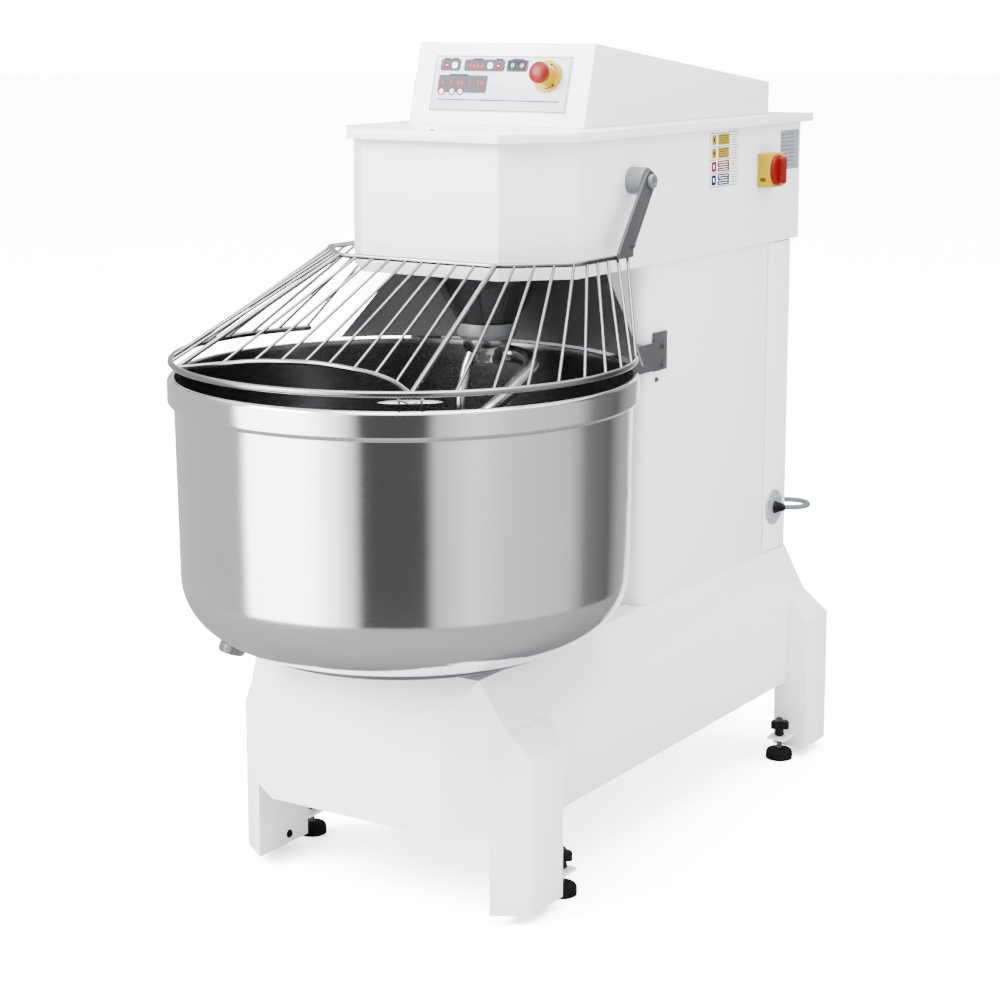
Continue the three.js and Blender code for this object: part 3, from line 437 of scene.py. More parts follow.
# --- mains lead with its coil, and its plug
def lead_route():
    """The lead's centreline: out of the strain relief, down behind the machine and round the coil."""
    lean = Vector((cos(INLET["turn"]), sin(INLET["turn"]), 0))
    start = Vector((COLUMN_SIDE + INLET["thick"] + GAP, INLET["y"], INLET["z"]))
    lead_start = start + lean * (INLET["relief"] + GAP)
    bend_start = start + lean * (INLET["relief"] + 6)
    radius = INLET["bend"]
    centre = bend_start + Vector((-lean.y, lean.x, 0)) * radius
    drooped = []
    for share in (0.25, 0.5, 0.75, 1):
        angle = INLET["turn"] - pi / 2 + share * (pi - INLET["turn"])
        drooped.append(centre + Vector((radius * cos(angle), radius * sin(angle), -3 * share)))
    coil_x, coil_y, low, high = CORD["coil_x"], CORD["coil_y"], CORD["low"], CORD["high"]
    outer, inner = CORD["outer"], CORD["inner"]
    drop = [
        (200, 1173, 561), (148, 1179, 532), (108, 1184, 486), (84, 1187, 425), (72, 1189, 355),
        (66, 1191, 280), (61, 1193, 205), (55, 1197, 130), (46, 1208, 68), (36, 1228, 26), (29, 1254, 8.4),
        (coil_x + outer, coil_y - 60, low), (coil_x + outer, coil_y - 30, low),
    ]
    rows = [(outer, low), (inner, low), (inner, high), (outer, high)]
    turns, per_turn, last = [], 18, 3.25
    for k in range(int(last * per_turn) + 1):
        turn = k / per_turn
        row = min(int(turn), 3)
        share = max(0, (turn - row - 0.8) / 0.2)
        ease = share * share * (3 - 2 * share)
        here, following = rows[row], rows[min(row + 1, 3)]
        r = here[0] + (following[0] - here[0]) * ease
        z = here[1] + (following[1] - here[1]) * ease
        angle = 2 * pi * turn
        turns.append((coil_x + r * cos(angle), coil_y + r * sin(angle), z))
    rise = ((22, 19.4), (50, 21.5), (78, 26), (92, 28), (103.7, 28))
    tail = [(coil_x - back, coil_y + CORD["plug_y"], z) for back, z in rise]
    return [lead_start, bend_start, *drooped, *drop, *turns, *tail]


def mains_lead():
    route = spline(lead_route(), 4)
    curve = bpy.data.curves.new("mains_lead_run", "CURVE")
    curve.dimensions = "3D"
    curve.bevel_depth = CORD["radius"] * MM
    curve.bevel_resolution = 4
    curve.use_fill_caps = True
    line = curve.splines.new("POLY")
    line.points.add(len(route) - 1)
    for point, p in zip(line.points, route):
        point.co = (*at(*p), 1)
    obj = bpy.data.objects.new("mains_lead_run", curve)
    scene.collection.objects.link(obj)
    curve.materials.append(SHEATH)
    put(obj, "base", "lead_sheath", "mains_lead", "mains_lead_coil")
    length = sum((b - a).length for a, b in zip(route, route[1:])) * MM
    return obj, at(*route[0]), length


def mains_plug():
    """A straight five-pole industrial plug lying on the floor, with a collar, grip ribs and a gland nut."""
    bm = bmesh.new()
    lay = place(CORD["coil_x"] - 104, CORD["coil_y"] + CORD["plug_y"], 28.2, (-1, 0, 0), (0, 0, 1))
    add_lathe(bm, [[0, 0], [10, 0, 1], [13, 5, 1], [13, 20, 1], [21, 40, 6], [23, 58, 2], [0, 58]], lay, 40)
    shroud = [[0, 56], [27.5, 56, 1.5], [27.5, 66, 1.5], [25, 68, 1], [25, 106, 2], [21, 106, 1],
              [21, 72], [0, 72]]
    add_lathe(bm, shroud, lay, 48, paint=1)
    add_lathe(bm, [[13.6, 6], [15, 6, 0.6], [15, 18, 0.6], [13.6, 18]], lay, 8, closed=True, paint=2)
    add_ribs(bm, 5, 12, 70, 100, 2.6, 12, lay, 2)
    for x, y in circle(12, 22.6):
        add_tube(bm, [(x * 0.98, y * 0.98, 46), (x, y, 55)], 1.2, 8, 0, lay, dome=True)
    return put(made("mains_plug_body", bm, [BLACK, RED, BRUSHED]), "base", "red_plastic", "mains_plug")


def strain_relief():
    lean = (cos(INLET["turn"]), sin(INLET["turn"]), 0)
    face = COLUMN_SIDE + INLET["thick"] + GAP
    seat = place(face, INLET["y"], INLET["z"], lean, (0, 0, 1))
    bm = bmesh.new()
    profile = [[0, -4], [13.6, -4], [13.6, 3, 1]]
    for k in range(4):
        low = 4 + 3.6 * k
        r = 12.6 - 0.85 * k
        profile += [[r, low, 0.4], [r - 0.3, low + 2.2, 0.4], [r - 2, low + 2.6], [r - 2, low + 3.2]]
    profile += [[8.6, 20], [8.2, 22, 0.6], [0, 22]]
    add_lathe(bm, profile, seat, 32)
    limit = at(face, 0, 0).x
    for vertex in bm.verts:
        vertex.co.x = max(vertex.co.x, limit)
    return put(made("strain_relief_sleeve", bm, BLACK), "base", "black_plastic", "cable_strain_relief")


def inlet_flange():
    seat = flank(1, COLUMN_SIDE, INLET["y"], INLET["z"])
    bm = bmesh.new()
    add_lathe(bm, [[0, 0], [40, 0], [40, 3.6, 1.4], [36.5, 5, 0.8], [0, 5]], seat, 72)
    for x, y in circle(4, 31, pi / 4):
        spot = seat @ Matrix.Translation((x, y, 5))
        add_lathe(bm, [[0, 0], [4, 0], [4, 0.8], [2.6, 2.4, 0.8], [0, 2.6]], spot, 20)
    return put(made("inlet_flange_disc", bm, CHROME), "base", "satin_steel", "inlet_flange")


lead, lead_exit, lead_length = mains_lead()
plug = mains_plug()
strain_relief()
inlet_flange()

# --- white sheet metal
BASE = {"top": 473, "plate": 18, "skirt": 172, "wall": 4, "side": 302, "shoulder": 256, "front": -174,
        "back": 1150, "nose": 197, "nose_top": 388, "side_top": 370, "top_front": -128}
LEG = {"low": 20, "high": 320, "inner": 272}
FRONT_LEG = {"outer": 337, "front": None, "back": 31, "top_back": 31}
REAR_LEG = {"outer": 350, "front": 1066, "back": 1172, "top_back": 1150}
SLANT = 1.15


def corner_cut(x):
    """How far forward the slanted front corner of the base reaches at a given x."""
    return BASE["front"] + (x - BASE["nose"]) * 94 / 140


def base_block(inset):
    side, shoulder = BASE["side"] - inset, BASE["shoulder"] - inset
    front, back, slant = BASE["front"] + inset, BASE["back"] - inset, inset * SLANT
    low = BASE["skirt"] - (5 if inset else 0)
    top = BASE["top"] - (BASE["plate"] if inset else 0)
    return [
        (BASE["nose"], front, low), (side, corner_cut(side) + slant, low), (side, back, low),
        (BASE["nose"], front, BASE["nose_top"] - inset),
        (side, corner_cut(side) + slant, BASE["side_top"] - inset),
        (side, back, BASE["side_top"] - inset), (shoulder, corner_cut(BASE["shoulder"]) + slant, top),
        (shoulder, BASE["back"] - 16 - inset, top), (shoulder - 8, BASE["top_front"] + inset, top),
    ]


def leg_block(leg, inset):
    inner, outer = LEG["inner"] + inset, leg["outer"] - inset
    low = LEG["low"] - (5 if inset else 0)
    top = BASE["side_top"] + 2 - 2 * inset
    side = BASE["side"] - inset

    def front(x):
        return corner_cut(x) + inset * SLANT if leg["front"] is None else leg["front"] + inset

    return [
        (inner, front(inner), low), (outer, front(outer), low), (outer, leg["back"] - inset, low),
        (inner, leg["back"] - inset, low), (outer, front(outer), LEG["high"] - inset),
        (outer, leg["back"] - inset, LEG["high"] - inset), (side, front(BASE["side"]), top),
        (side, leg["top_back"] - inset, top), (inner, front(inner), top),
        (inner, leg["top_back"] - inset, top),
    ]


def other_side(points):
    return [(-x, y, z) for x, y, z in points]


def block(points):
    """A convex solid round the points, for cutting and joining."""
    bm = bmesh.new()
    for point in points:
        bm.verts.new(at(*point))
    bmesh.ops.convex_hull(bm, input=bm.verts)
    bmesh.ops.dissolve_limit(bm, angle_limit=radians(0.5), verts=bm.verts, edges=bm.edges)
    return made("block", bm, WHITE)


def shaped(obj):
    """Applies an object's modifiers."""
    mesh = bpy.data.meshes.new_from_object(obj.evaluated_get(bpy.context.evaluated_depsgraph_get()))
    obj.modifiers.clear()
    obj.data = mesh
    return obj


def combined(obj, tool, operation):
    step = obj.modifiers.new("step", "BOOLEAN")
    step.operation = operation
    step.solver = "EXACT"
    step.object = tool
    shaped(obj)
    bpy.data.objects.remove(tool)
    return obj


def rounded(obj, width, segments=3, limit=28):
    """Rounds an object's edges and leaves its flat faces flat."""
    bevel = obj.modifiers.new("edges", "BEVEL")
    bevel.width = width * MM
    bevel.segments = segments
    bevel.limit_method = "ANGLE"
    bevel.angle_limit = radians(limit)
    shaped(obj)
    obj.data.shade_smooth()
    obj.data.set_sharp_from_angle(angle=SHARP_ANGLE)
    return obj


def base_weldment():
    """The base with its four welded legs as one painted skin with rolled bends, open from below."""
    body = base_block(0)
    body += other_side(body)
    legs = []
    for leg in (FRONT_LEG, REAR_LEG):
        for turn in (lambda points: points, other_side):
            legs.append((turn, leg))
    skin = block(body)
    for turn, leg in legs:
        combined(skin, block(turn(leg_block(leg, 0))), "UNION")
    bm = bmesh.new()
    bm.from_mesh(skin.data)
    bmesh.ops.dissolve_limit(bm, angle_limit=radians(1), verts=bm.verts, edges=bm.edges)
    bm.to_mesh(skin.data)
    bm.free()
    rounded(skin, 5)
    room = base_block(BASE["wall"])
    combined(skin, block(room + other_side(room)), "DIFFERENCE")
    for turn, leg in legs:
        hollow = combined(block(turn(leg_block(leg, BASE["wall"]))), block(body), "DIFFERENCE")
        combined(skin, hollow, "DIFFERENCE")
    bm = bmesh.new()
    bm.from_mesh(skin.data)
    for side in (1, -1):
        for end, leg, wall, lean in (("front", FRONT_LEG, 29, 11), ("rear", REAR_LEG, 1068, -11)):
            y, wheel_y, z = SCREW_Y[end], WHEEL[f"{end}_y"], WHEEL["axle_z"]
            add_tube(bm, [(side * 273, wheel_y, z), (side * (leg["outer"] - 2), wheel_y, z)], 6, 20)
            tab = rounded_box(side * SCREW_X, (y + wall) / 2 + lean, 44, abs(y - wall) + 22, 4)
            add_ring_plate(bm, tab, (side * SCREW_X, y), 6.5, 46, 51)
    bm.to_mesh(skin.data)
    bm.free()
    skin.name = "base_weldment"
    skin.data.shade_smooth()
    skin.data.set_sharp_from_angle(angle=SHARP_ANGLE)
    put(skin, "base", "white_paint", "base_frame", "leg_front_right", "leg_front_left", "leg_rear_right",
        "leg_rear_left")


def add_ring_plate(bm, outline, centre, hole, low, high):
    """A flat plate with a round hole, made as matching rings of points round the hole and the edge."""
    edge = [Vector(p) for p in outline]
    middle = Vector(centre)
    inner = [middle + (p - middle).normalized() * hole for p in edge]
    levels = [[[bm.verts.new(at(p.x, p.y, z)) for p in ring] for ring in (edge, inner)] for z in (low, high)]
    (low_edge, low_hole), (high_edge, high_hole) = levels
    for k in range(len(edge)):
        n = (k + 1) % len(edge)
        around = (low_edge, high_edge, high_hole, low_hole, low_edge)
        for a, b in zip(around, around[1:]):
            bm.faces.new((a[k], a[n], b[n], b[k]))


base_weldment()
for node, width, segments in (("column_shell", 1.2, 2), ("column_rear_cover", 0.8, 2), ("head_shell", 1.8, 3),
                              ("head_deck", 1.4, 3), ("console_housing", 1.4, 3)):
    formed(node, "base", "white_paint", WHITE, width, segments)


# --- bowl and what turns with it
def knee(turn, offset=0):
    return (
        BOWL["knee"] + (BOWL["foot"] - BOWL["knee"] - offset) * sin(turn),
        BOWL["knee_z"] - (BOWL["knee_z"] - BOWL["bottom"] - offset) * cos(turn),
    )


def bowl():
    steps = 20
    turns = [pi / 2 * k / steps for k in range(steps + 1)]
    band, top, wall, rim, skin = BOWL["band"], BOWL["top"], BOWL["wall"], BOWL["rim"], 3
    outside = [(0, BOWL["bottom"]), *[knee(t) for t in turns], (430.5, 800), (wall, band - 7, 1),
               (wall + 2, band - 4.5), (rim - 2, band - 1.5, 1), (rim, band + 2, 1.5), (rim, top - 6, 4),
               (rim - 5, top, 3)]
    inside = [(wall - 2, top, 3), (wall - skin, top - 10, 3), (427.6, 800),
              *[knee(t, skin) for t in reversed(turns)], (0, BOWL["bottom"] + skin)]
    bm = bmesh.new()
    # The inner face takes slot 1, the darker steel: painted shade and painted reflection inside the bowl.
    add_lathe(bm, [*outside, *inside], UPRIGHT, 160, paint=painted_shade_slot)
    return put(made("bowl_shell", bm, [STEEL, INSIDE_PAINTED_SHADE], 40), "bowl_body", "polished_steel", "bowl")


def painted_shade_slot(r, z):
    """Slot 1 for the bowl's inner face, which gets the darker steel as painted shade and painted dark
    reflection, and slot 0 for its outer face.
    """
    return int(z > BOWL["bottom"] + 1 and is_inside(r, z))


def is_inside(r, z):
    """Whether a point lies nearer the axis than the middle of the bowl's skin at its height."""
    if z >= BOWL["top"] - 2:
        return r < BOWL["wall"] - 1
    if z >= BOWL["knee_z"]:
        share = (z - BOWL["knee_z"]) / (BOWL["band"] - 7 - BOWL["knee_z"])
        return r < BOWL["foot"] - 1.5 + (BOWL["wall"] - BOWL["foot"]) * min(1, share)
    if r <= BOWL["knee"]:
        return z > BOWL["bottom"] + 1.5
    share = min(1, (r - BOWL["knee"]) / (BOWL["foot"] - BOWL["knee"] - 1.5))
    return z > BOWL["knee_z"] - (BOWL["knee_z"] - BOWL["bottom"] - 1.5) * sqrt(max(0, 1 - share * share))


def bowl_drain():
    turn, bearing = 0.318, radians(-129.5)
    r, z = knee(turn)
    across = sin(turn) / (BOWL["foot"] - BOWL["knee"])
    down = cos(turn) / (BOWL["knee_z"] - BOWL["bottom"])
    lean = atan2(across, down)
    out = (sin(lean) * cos(bearing), sin(lean) * sin(bearing), -cos(lean))
    spot = place(r * cos(bearing), r * sin(bearing), z, out, (0, 0, 1))
    bm = bmesh.new()
    cap = [[0, 1.2], [13, 1.2], [13, 6], [24, 6, 1], [25, 8, 0.6], [25, 22, 0.8], [23, 24, 0.8], [0, 24]]
    add_lathe(bm, cap, spot, 48)
    add_ribs(bm, 20, 24.2, 9.5, 20.5, 1.5, 8, spot)
    return put(made("bowl_drain_cap", bm, BRUSHED), "bowl_body", "polished_steel", "bowl_drain")


def turntable():
    low, edge = 488, BOWL["bottom"] - GAP
    profile = [[0, 320], [35, 320, 2], [35, 474], [110, 474, 2], [110, low], [298, low, 1], [301, low + 3, 1],
               [301, edge - 3, 1], [298, edge, 1], [0, edge]]
    turned("bowl_turntable_disc", profile, UPRIGHT, 120, BRUSHED, "bowl_body", "cast_metal", "bowl_turntable")


bowl()
bowl_drain()
turntable()


for node, body, slot, material in (
    ("bowl_bearing_housing", "base", "cast_metal", CAST),
    ("bowl_pulley", "bowl_body", "cast_metal", CAST),
    ("bowl_belt", "base", "black_rubber", RUBBER),
    ("bowl_motor_pulley", "bowl_drive", "cast_metal", CAST),
    ("bowl_motor", "base", "motor_paint", MOTOR),
    ("spiral_pulley", "spiral_body", "cast_metal", CAST),
    ("spiral_belt", "base", "black_rubber", RUBBER),
    ("spiral_motor_pulley", "spiral_drive", "cast_metal", CAST),
    ("spiral_motor", "base", "motor_paint", MOTOR),
):
    formed(node, body, slot, material, 0.8, 2)


# --- spiral tool, its housing and collar
def tool_point(radius, degrees, z):
    a = radians(degrees)
    return Vector((radius * cos(a), TOOL_Y + radius * sin(a), z))


def spiral_tool():
    bm = bmesh.new()
    hub = place(0, TOOL_Y, 0)
    nose = [[0, 986], [33, 986, 3], [40, 1004, 3], [48, 1018, 3], [48, 1033.7, 1.5], [0, 1033.7]]
    add_lathe(bm, nose, hub, 64)
    points = [tool_point(20, 20, 1004), tool_point(62, 14, 1002)]
    for i in range(HOOK["steps"] + 1):
        share = i / HOOK["steps"]
        tuck = max(0, share - HOOK["tuck_from"]) / (1 - HOOK["tuck_from"])
        radius = HOOK["sweep"] - HOOK["tuck"] * tuck ** 3
        height = HOOK["top"] - HOOK["drop"] * share ** 0.92
        points.append(tool_point(radius, -6 - HOOK["turn"] * share, height))
    add_tube(bm, spline(points, 8), HOOK["bar"], 24, dome=True)
    core = [(-15, 252, 1004), (-18, 240, 980), (-14, 222, 950), (-11, 206, 912), (-9, 206, 868),
            (-8, 213, 815), (-8, 220, 720), (-8, 222, 610)]
    add_tube(bm, spline(core, 8), 11, 20)
    add_lathe(bm, [[0, 1030], [25, 1030], [25, 1300, 2], [0, 1300]], hub, 48)
    put(made("spiral_weldment", bm, TOOL), "spiral_body", "polished_steel", "spiral_hook")


def spiral_housing():
    hub = place(0, TOOL_Y, 0)
    bm = bmesh.new()
    cone = [[26, 1066], [56, 1066, 2], [99, 1143, 6], [118, 1160, 3], [118, 1174.7, 2], [26, 1174.7]]
    add_lathe(bm, cone, hub, 96, closed=True)
    for degrees in (-150, -112, -68, -30, 30, 150):
        a = radians(degrees)
        foot = (57 * cos(a), TOOL_Y + 57 * sin(a), 1072)
        head = (103 * cos(a), TOOL_Y + 103 * sin(a), 1150)
        add_tube(bm, [foot, head], 4, 12, dome=True)
    put(made("spiral_housing_cone", bm, DARK), "base", "dark_steel", "spiral_housing")
    profile = [[26, 1034], [54, 1034, 1], [60, 1042, 2], [60, 1065.7, 1.5], [26, 1065.7]]
    turned("spiral_collar_ring", profile, hub, 80, CAST, "base", "satin_steel", "spiral_collar", closed=True)


spiral_tool()
spiral_housing()


# --- rear shield, roller brackets and rollers
def rear_shield():
    columns, rows = 72, 6
    bm = bmesh.new()
    faces = []
    for skin in (0, -SHIELD["skin"]):
        grid = []
        for j in range(rows + 1):
            v = j / rows
            end = SHIELD["low_end"] + (SHIELD["high_end"] - SHIELD["low_end"]) * v
            radius = SHIELD["low_r"] + (SHIELD["high_r"] - SHIELD["low_r"]) * v + skin
            z = SHIELD["low"] + (SHIELD["high"] - SHIELD["low"]) * v
            row = []
            for i in range(columns + 1):
                a = radians(end * (2 * i / columns - 1))
                row.append(bm.verts.new(UPRIGHT @ Vector((radius * sin(a), radius * cos(a), z))))
            grid.append(row)
        faces.append(grid)
    outer, inner = faces
    for grid in faces:
        for j in range(rows):
            for i in range(columns):
                bm.faces.new((grid[j][i], grid[j][i + 1], grid[j + 1][i + 1], grid[j + 1][i]))
    for j in (0, rows):
        for i in range(columns):
            bm.faces.new((outer[j][i], outer[j][i + 1], inner[j][i + 1], inner[j][i]))
    for i in (0, columns):
        for j in range(rows):
            bm.faces.new((outer[j][i], outer[j + 1][i], inner[j + 1][i], inner[j][i]))
    put(made("rear_shield_sheet", bm, SHADE), "base", "dark_steel", "rear_shield")


def roller_side(side, name):
    formed(f"roller_bracket_{name}", "base", "satin_steel", BRUSHED, 0.7, 2)
    bm = bmesh.new()
    face = ROLLER["x"] + 32.3
    for z in (1010, 971):
        add_bolt(bm, flank(side, face, 530, z), 14, 6)
    add_bolt(bm, flank(side, 256, 518, 939), 8, 4)
    put(made(f"roller_bolts_{name}", bm, BRUSHED), "base", "satin_steel")
    low, high, r, roller = ROLLER["low"], ROLLER["high"], ROLLER["radius"], f"rim_roller_{name}"
    profile = [[5.4, low], [11, low], [11.5, low + 1.2], [16, low + 1.2], [r, low, 2], [r, high, 2],
               [16, high - 1.2], [11.5, high - 1.2], [11, high], [5.4, high]]
    spot = place(side * ROLLER["x"], ROLLER["y"], 0)
    turned(f"{roller}_wheel", profile, spot, 56, BLACK, roller, "black_plastic", roller, closed=True)


rear_shield()
roller_side(1, "right")
roller_side(-1, "left")


# --- lifting guard
TOP_CORNER = (180, 38)
TOP_FLANK = ((293, 153), (293, 331))


def along_flank(distance):
    path = [Vector(TOP_CORNER), *(Vector(p) for p in TOP_FLANK)]
    first = (path[1] - path[0]).length
    corner = 0 if distance < first else 1
    a, b = path[corner], path[corner + 1]
    return a.lerp(b, (distance - corner * first) / (b - a).length)


def ring_point(degrees, side=1):
    a = radians(degrees)
    return Vector((side * GUARD["ring"] * sin(a), -GUARD["ring"] * cos(a), GUARD["ring_z"]))


def guard_cage():
    top, rod, thin, end, rib = GUARD["top"], GUARD["rod"], GUARD["thin"], GUARD["end"], GUARD["rib"]
    bm = bmesh.new()
    add_tube(bm, [ring_point(-end + 2 * end * i / 120) for i in range(121)], GUARD["hoop"], 16, dome=True)
    arc = [Vector(p) for p in ((0, -272, 1054), (82, -271, 1050), (136, -281, 1047), (195, -301, 1040))]
    mirrored = [Vector((-p.x, p.y, p.z)) for p in reversed(arc[1:])]
    feed = spline([ring_point(-rib), *mirrored, *arc, ring_point(rib)], 16)
    add_tube(bm, feed, rod, 14)
    for side in (1, -1):
        corner = Vector((side * TOP_CORNER[0], TOP_CORNER[1], top))
        elbow = Vector((side * TOP_FLANK[0][0], TOP_FLANK[0][1], top))
        back = Vector((side * TOP_FLANK[1][0], TOP_FLANK[1][1] + 8, top))
        middle = Vector((0, TOP_CORNER[1], top))
        add_tube(bm, fillet_path([middle, corner, elbow, back], 18), rod, 14)
        add_tube(bm, [corner, ring_point(rib, side)], rod, 12)
        for upper, lower in ((19, 27), (57.5, 82), (96, 136), (136, 195)):
            foot = min(feed, key=lambda p: abs(p.x - side * lower))
            add_tube(bm, [(side * upper, TOP_CORNER[1], top), foot], thin, 10)
        for i in range(1, 10):
            head = along_flank(37.6 * i)
            foot = ring_point(rib + 1.3 + i * (end - rib - 2.3) / 9, side)
            add_tube(bm, [(side * head.x, head.y, top), foot], thin, 10)
    foot = ring_point(rib)
    inward = Vector((-foot.x, -foot.y, 0)).normalized()
    tab = foot + inward * 45 - Vector((0, 0, 21))
    add_lathe(bm, [[0, -3], [9, -2.6], [13, -1], [14, 0], [13, 1.4], [9, 3.4], [0, 4.5]],
              place(tab.x, tab.y, tab.z, (0, 0, 1), inward) @ Matrix.Diagonal((4.1, 1, 1, 1)), 40, paint=1)
    for reach in (-20, 20):
        across = Vector((inward.y, -inward.x, 0)) * reach
        add_tube(bm, [tab + across, foot + inward * 2 + across], 2.5, 8, 1)
    put(made("guard_cage_rods", bm, [ROD, TOOL], 60), "guard", "polished_steel", "guard_cage")


def fillet_path(points, radius, steps=6):
    """A polyline with its inner corners rounded."""
    path = [points[0]]
    for before, corner, after in zip(points, points[1:], points[2:]):
        first = corner + (before - corner).normalized() * radius
        last = corner + (after - corner).normalized() * radius
        path += bend(first, corner, last, steps)
    return [*path, points[-1]]


def guard_side(side, name):
    formed(f"guard_arm_{name}", "guard", "satin_steel", BRUSHED, 1.2, 3)
    reach = 298.3 - (HEAD_HALF + GAP) - GAP
    seat = flank(side, HEAD_HALF + GAP, 400, 1349)
    cap, pivot = reach + 7, f"guard_pivot_{name}"
    profile = [[0, 0], [27, 0], [27, reach - 1, 2.5], [22, reach], [8, reach], [8, cap], [14, cap, 0.6],
               [14, cap + 8, 2], [7, cap + 8, 0.6], [6, cap + 5], [0, cap + 5]]
    turned(f"{pivot}_boss", profile, seat, 56, CAST, "base", "satin_steel", pivot)
    bm = bmesh.new()
    add_bolt(bm, flank(side, 304.3, 330, 1231), 10, 5)
    put(made(f"guard_arm_bolt_{name}", bm, BRUSHED), "guard", "satin_steel")


guard_cage()
guard_side(1, "right")
guard_side(-1, "left")


# --- control panel
panel_low, panel_high = corners("control_panel")
push = Vector(next(j for j in frame["joints"] if j["name"] == "estop_push")["axis"])
PANEL_OUT = -push.normalized()
PANEL_UP = Vector((0, PANEL_OUT.z, -PANEL_OUT.y)).normalized()
panel_turn = Matrix((Vector((1, 0, 0)), PANEL_UP, PANEL_OUT)).transposed().to_4x4()
PANEL = Matrix.Translation((panel_low + panel_high) / 2 + PANEL_OUT * MM) @ panel_turn @ Matrix.Scale(MM, 4)


def printer(bm, seat):
    """Returns a call that lays one thin coloured plate of print on a face."""
    order = list(INKS)

    def plate(color, x, y, w, h, r=1.0, low=0.0, high=0.15):
        add_prism(bm, rounded_box(x, y, w, h, r), low, high, seat, order.index(color))

    return plate


KEY_X, KEY_Y = {"start_key": 25, "stop_key": 47}, 37


def control_panel():
    formed("control_panel", "base", "panel_film", FILM, 0.4, 2)
    bm = bmesh.new()
    plate = printer(bm, PANEL)
    for side in (1, -1):
        plate("border", 0, 54.4 * side, 316, 1.1, 0.2)
    for side in (-1, 1):
        plate("border", 157.5 * side, 0, 1.1, 109, 0.2)
    plate("line", 0, -33.9, 286, 2.2, 0.6)
    plate("light", 139, 50, 24, 1.6, 0.5)
    for x, y, w, h in ((-121.9, 36.4, 48.6, 24.3), (-41.3, 36.4, 96, 24.3), (-87.5, -1.8, 117, 36)):
        plate("grey", x, y, w, h, 5)
    for x, y, w in ((-131, 48.9, 16), (-112, 48.9, 16), (-58, 48.9, 25), (-8, 48.9, 16), (36, 48.9, 28),
                    (-99, 16.4, 46)):
        plate("blue", x, y, w, 3.6, 1.4, 0.1, 0.3)
    plate("dark_red", -60.8, 36, 40.4, 14.5, 1, 0.1, 0.3)
    for k in range(4):
        plate("glow", -74.3 + 9 * k, 36, 4.6, 8.5, 0.8, 0.2, 0.36)
    for x, w in ((-135.2, 10.6), (-114.7, 11.2), (-93, 20.8), (-69.1, 8.3), (-46.6, 20.8)):
        plate("dark_red", x, 0.8, w, 15, 0.8, 0.1, 0.3)
        digits = 2 if w > 15 else 1
        for k in range(digits):
            plate("glow", x + (k - (digits - 1) / 2) * 8.6, 0.8, 4, 8, 0.8, 0.2, 0.36)
    for x, y, color in ((-130.9, 36, "red"), (-112.3, 36, "white"), (-28, 36, "white"), (-8.6, 36, "red")):
        plate(color, x, y, 13, 13, 6, 0.1, 0.4)
        plate("white" if color == "red" else "red", x, y, 5, 1.6, 0.7, 0.3, 0.5)
    for x in (-135.4, -110.7, -90.6):
        plate("red", x, -17.5, 15, 15, 5.5, 0.1, 0.3)
        plate("white", x, -17.5, 10, 10, 4.6, 0.2, 0.45)
        plate("red", x, -17.5, 1.8, 5, 0.8, 0.4, 0.55)
    put(made("control_panel_print", bm, list(INKS.values())), "base", "panel_film")

    bm = bmesh.new()
    add_prism(bm, rounded_box(36.4, 36.4, 50, 24.3, 5), 0.0, 0.15, PANEL)
    group = made("key_group_print", bm, INKS["grey"])
    for x in KEY_X.values():
        bm = bmesh.new()
        add_lathe(bm, [[0, -1], [7, -1], [7, 1], [0, 1]], PANEL @ Matrix.Translation((x, KEY_Y, 0)), 40)
        group = combined(group, made("key_hole", bm, FILM), "DIFFERENCE")
    put(group, "base", "panel_film")


def push_key(node, material):
    """A round key in its hole in the film, short enough to clear the console's sheet when pressed."""
    x = KEY_X[node]
    bm = bmesh.new()
    low, high = -0.9, 1.0
    spot = PANEL @ Matrix.Translation((x, KEY_Y, 0))
    add_lathe(bm, [[0, low], [6.5, low], [6.5, high, 0.6], [5.4, high + 0.02], [0, high - 0.25]], spot, 40)
    mark = [[2, high - 0.4], [2, high + 0.05], [2.8, high + 0.05], [2.8, high - 0.4]]
    add_lathe(bm, mark, spot, 28, closed=True, paint=1)
    slot = "green_plastic" if node == "start_key" else "red_plastic"
    put(made(f"{node}_button", bm, [material, INKS["white"]]), node, slot, node)


def emergency_stop():
    spot = PANEL @ Matrix.Translation((109, 16, 0))
    low = 0.3
    bm = bmesh.new()
    collar = [[0, low], [32, low], [32, low + 3, 1], [30.5, low + 3], [17.4, low + 3], [16, low + 17, 1],
              [12.5, low + 17], [12.5, low + 3], [0, low + 3]]
    add_lathe(bm, collar, spot, 80)
    for k in range(3):
        a = 2 * pi * k / 3 + 0.5
        arc = [(24.5 * cos(a + 0.09 * i), 24.5 * sin(a + 0.09 * i), low + 3.05) for i in range(9)]
        add_tube(bm, arc, 0.8, 8, 1, spot)
        tip = Vector(arc[-1])
        away = tip.normalized()
        ahead = Vector((-away.y, away.x, 0))
        arrow = [tip + away * 3.2, tip - away * 3.2, tip + ahead * 5]
        add_prism(bm, [(p.x, p.y) for p in arrow], low + 3, low + 3.6, spot, 1)
    put(made("estop_ring_disc", bm, [YELLOW, INKS["black"]]), "base", "yellow_plastic", "estop_ring")
    profile = [[0, low + 10], [12, low + 10, 1], [12, low + 27], [0, low + 27]]
    turned("estop_stem_tube", profile, spot, 48, BRUSHED, "estop_stem", "satin_steel", "estop_stem")
    cap = low + 27 + GAP
    profile = [[0, cap], [19, cap, 1], [22, cap + 3.6, 1.5], [21.4, cap + 9, 2], [17, cap + 13.4, 3],
               [8, cap + 15.4, 3], [0, cap + 15.7]]
    turned("estop_cap_mushroom", profile, spot, 72, RED, "estop_cap", "red_plastic", "estop_cap")


control_panel()
push_key("start_key", GREEN)
push_key("stop_key", RED)
emergency_stop()


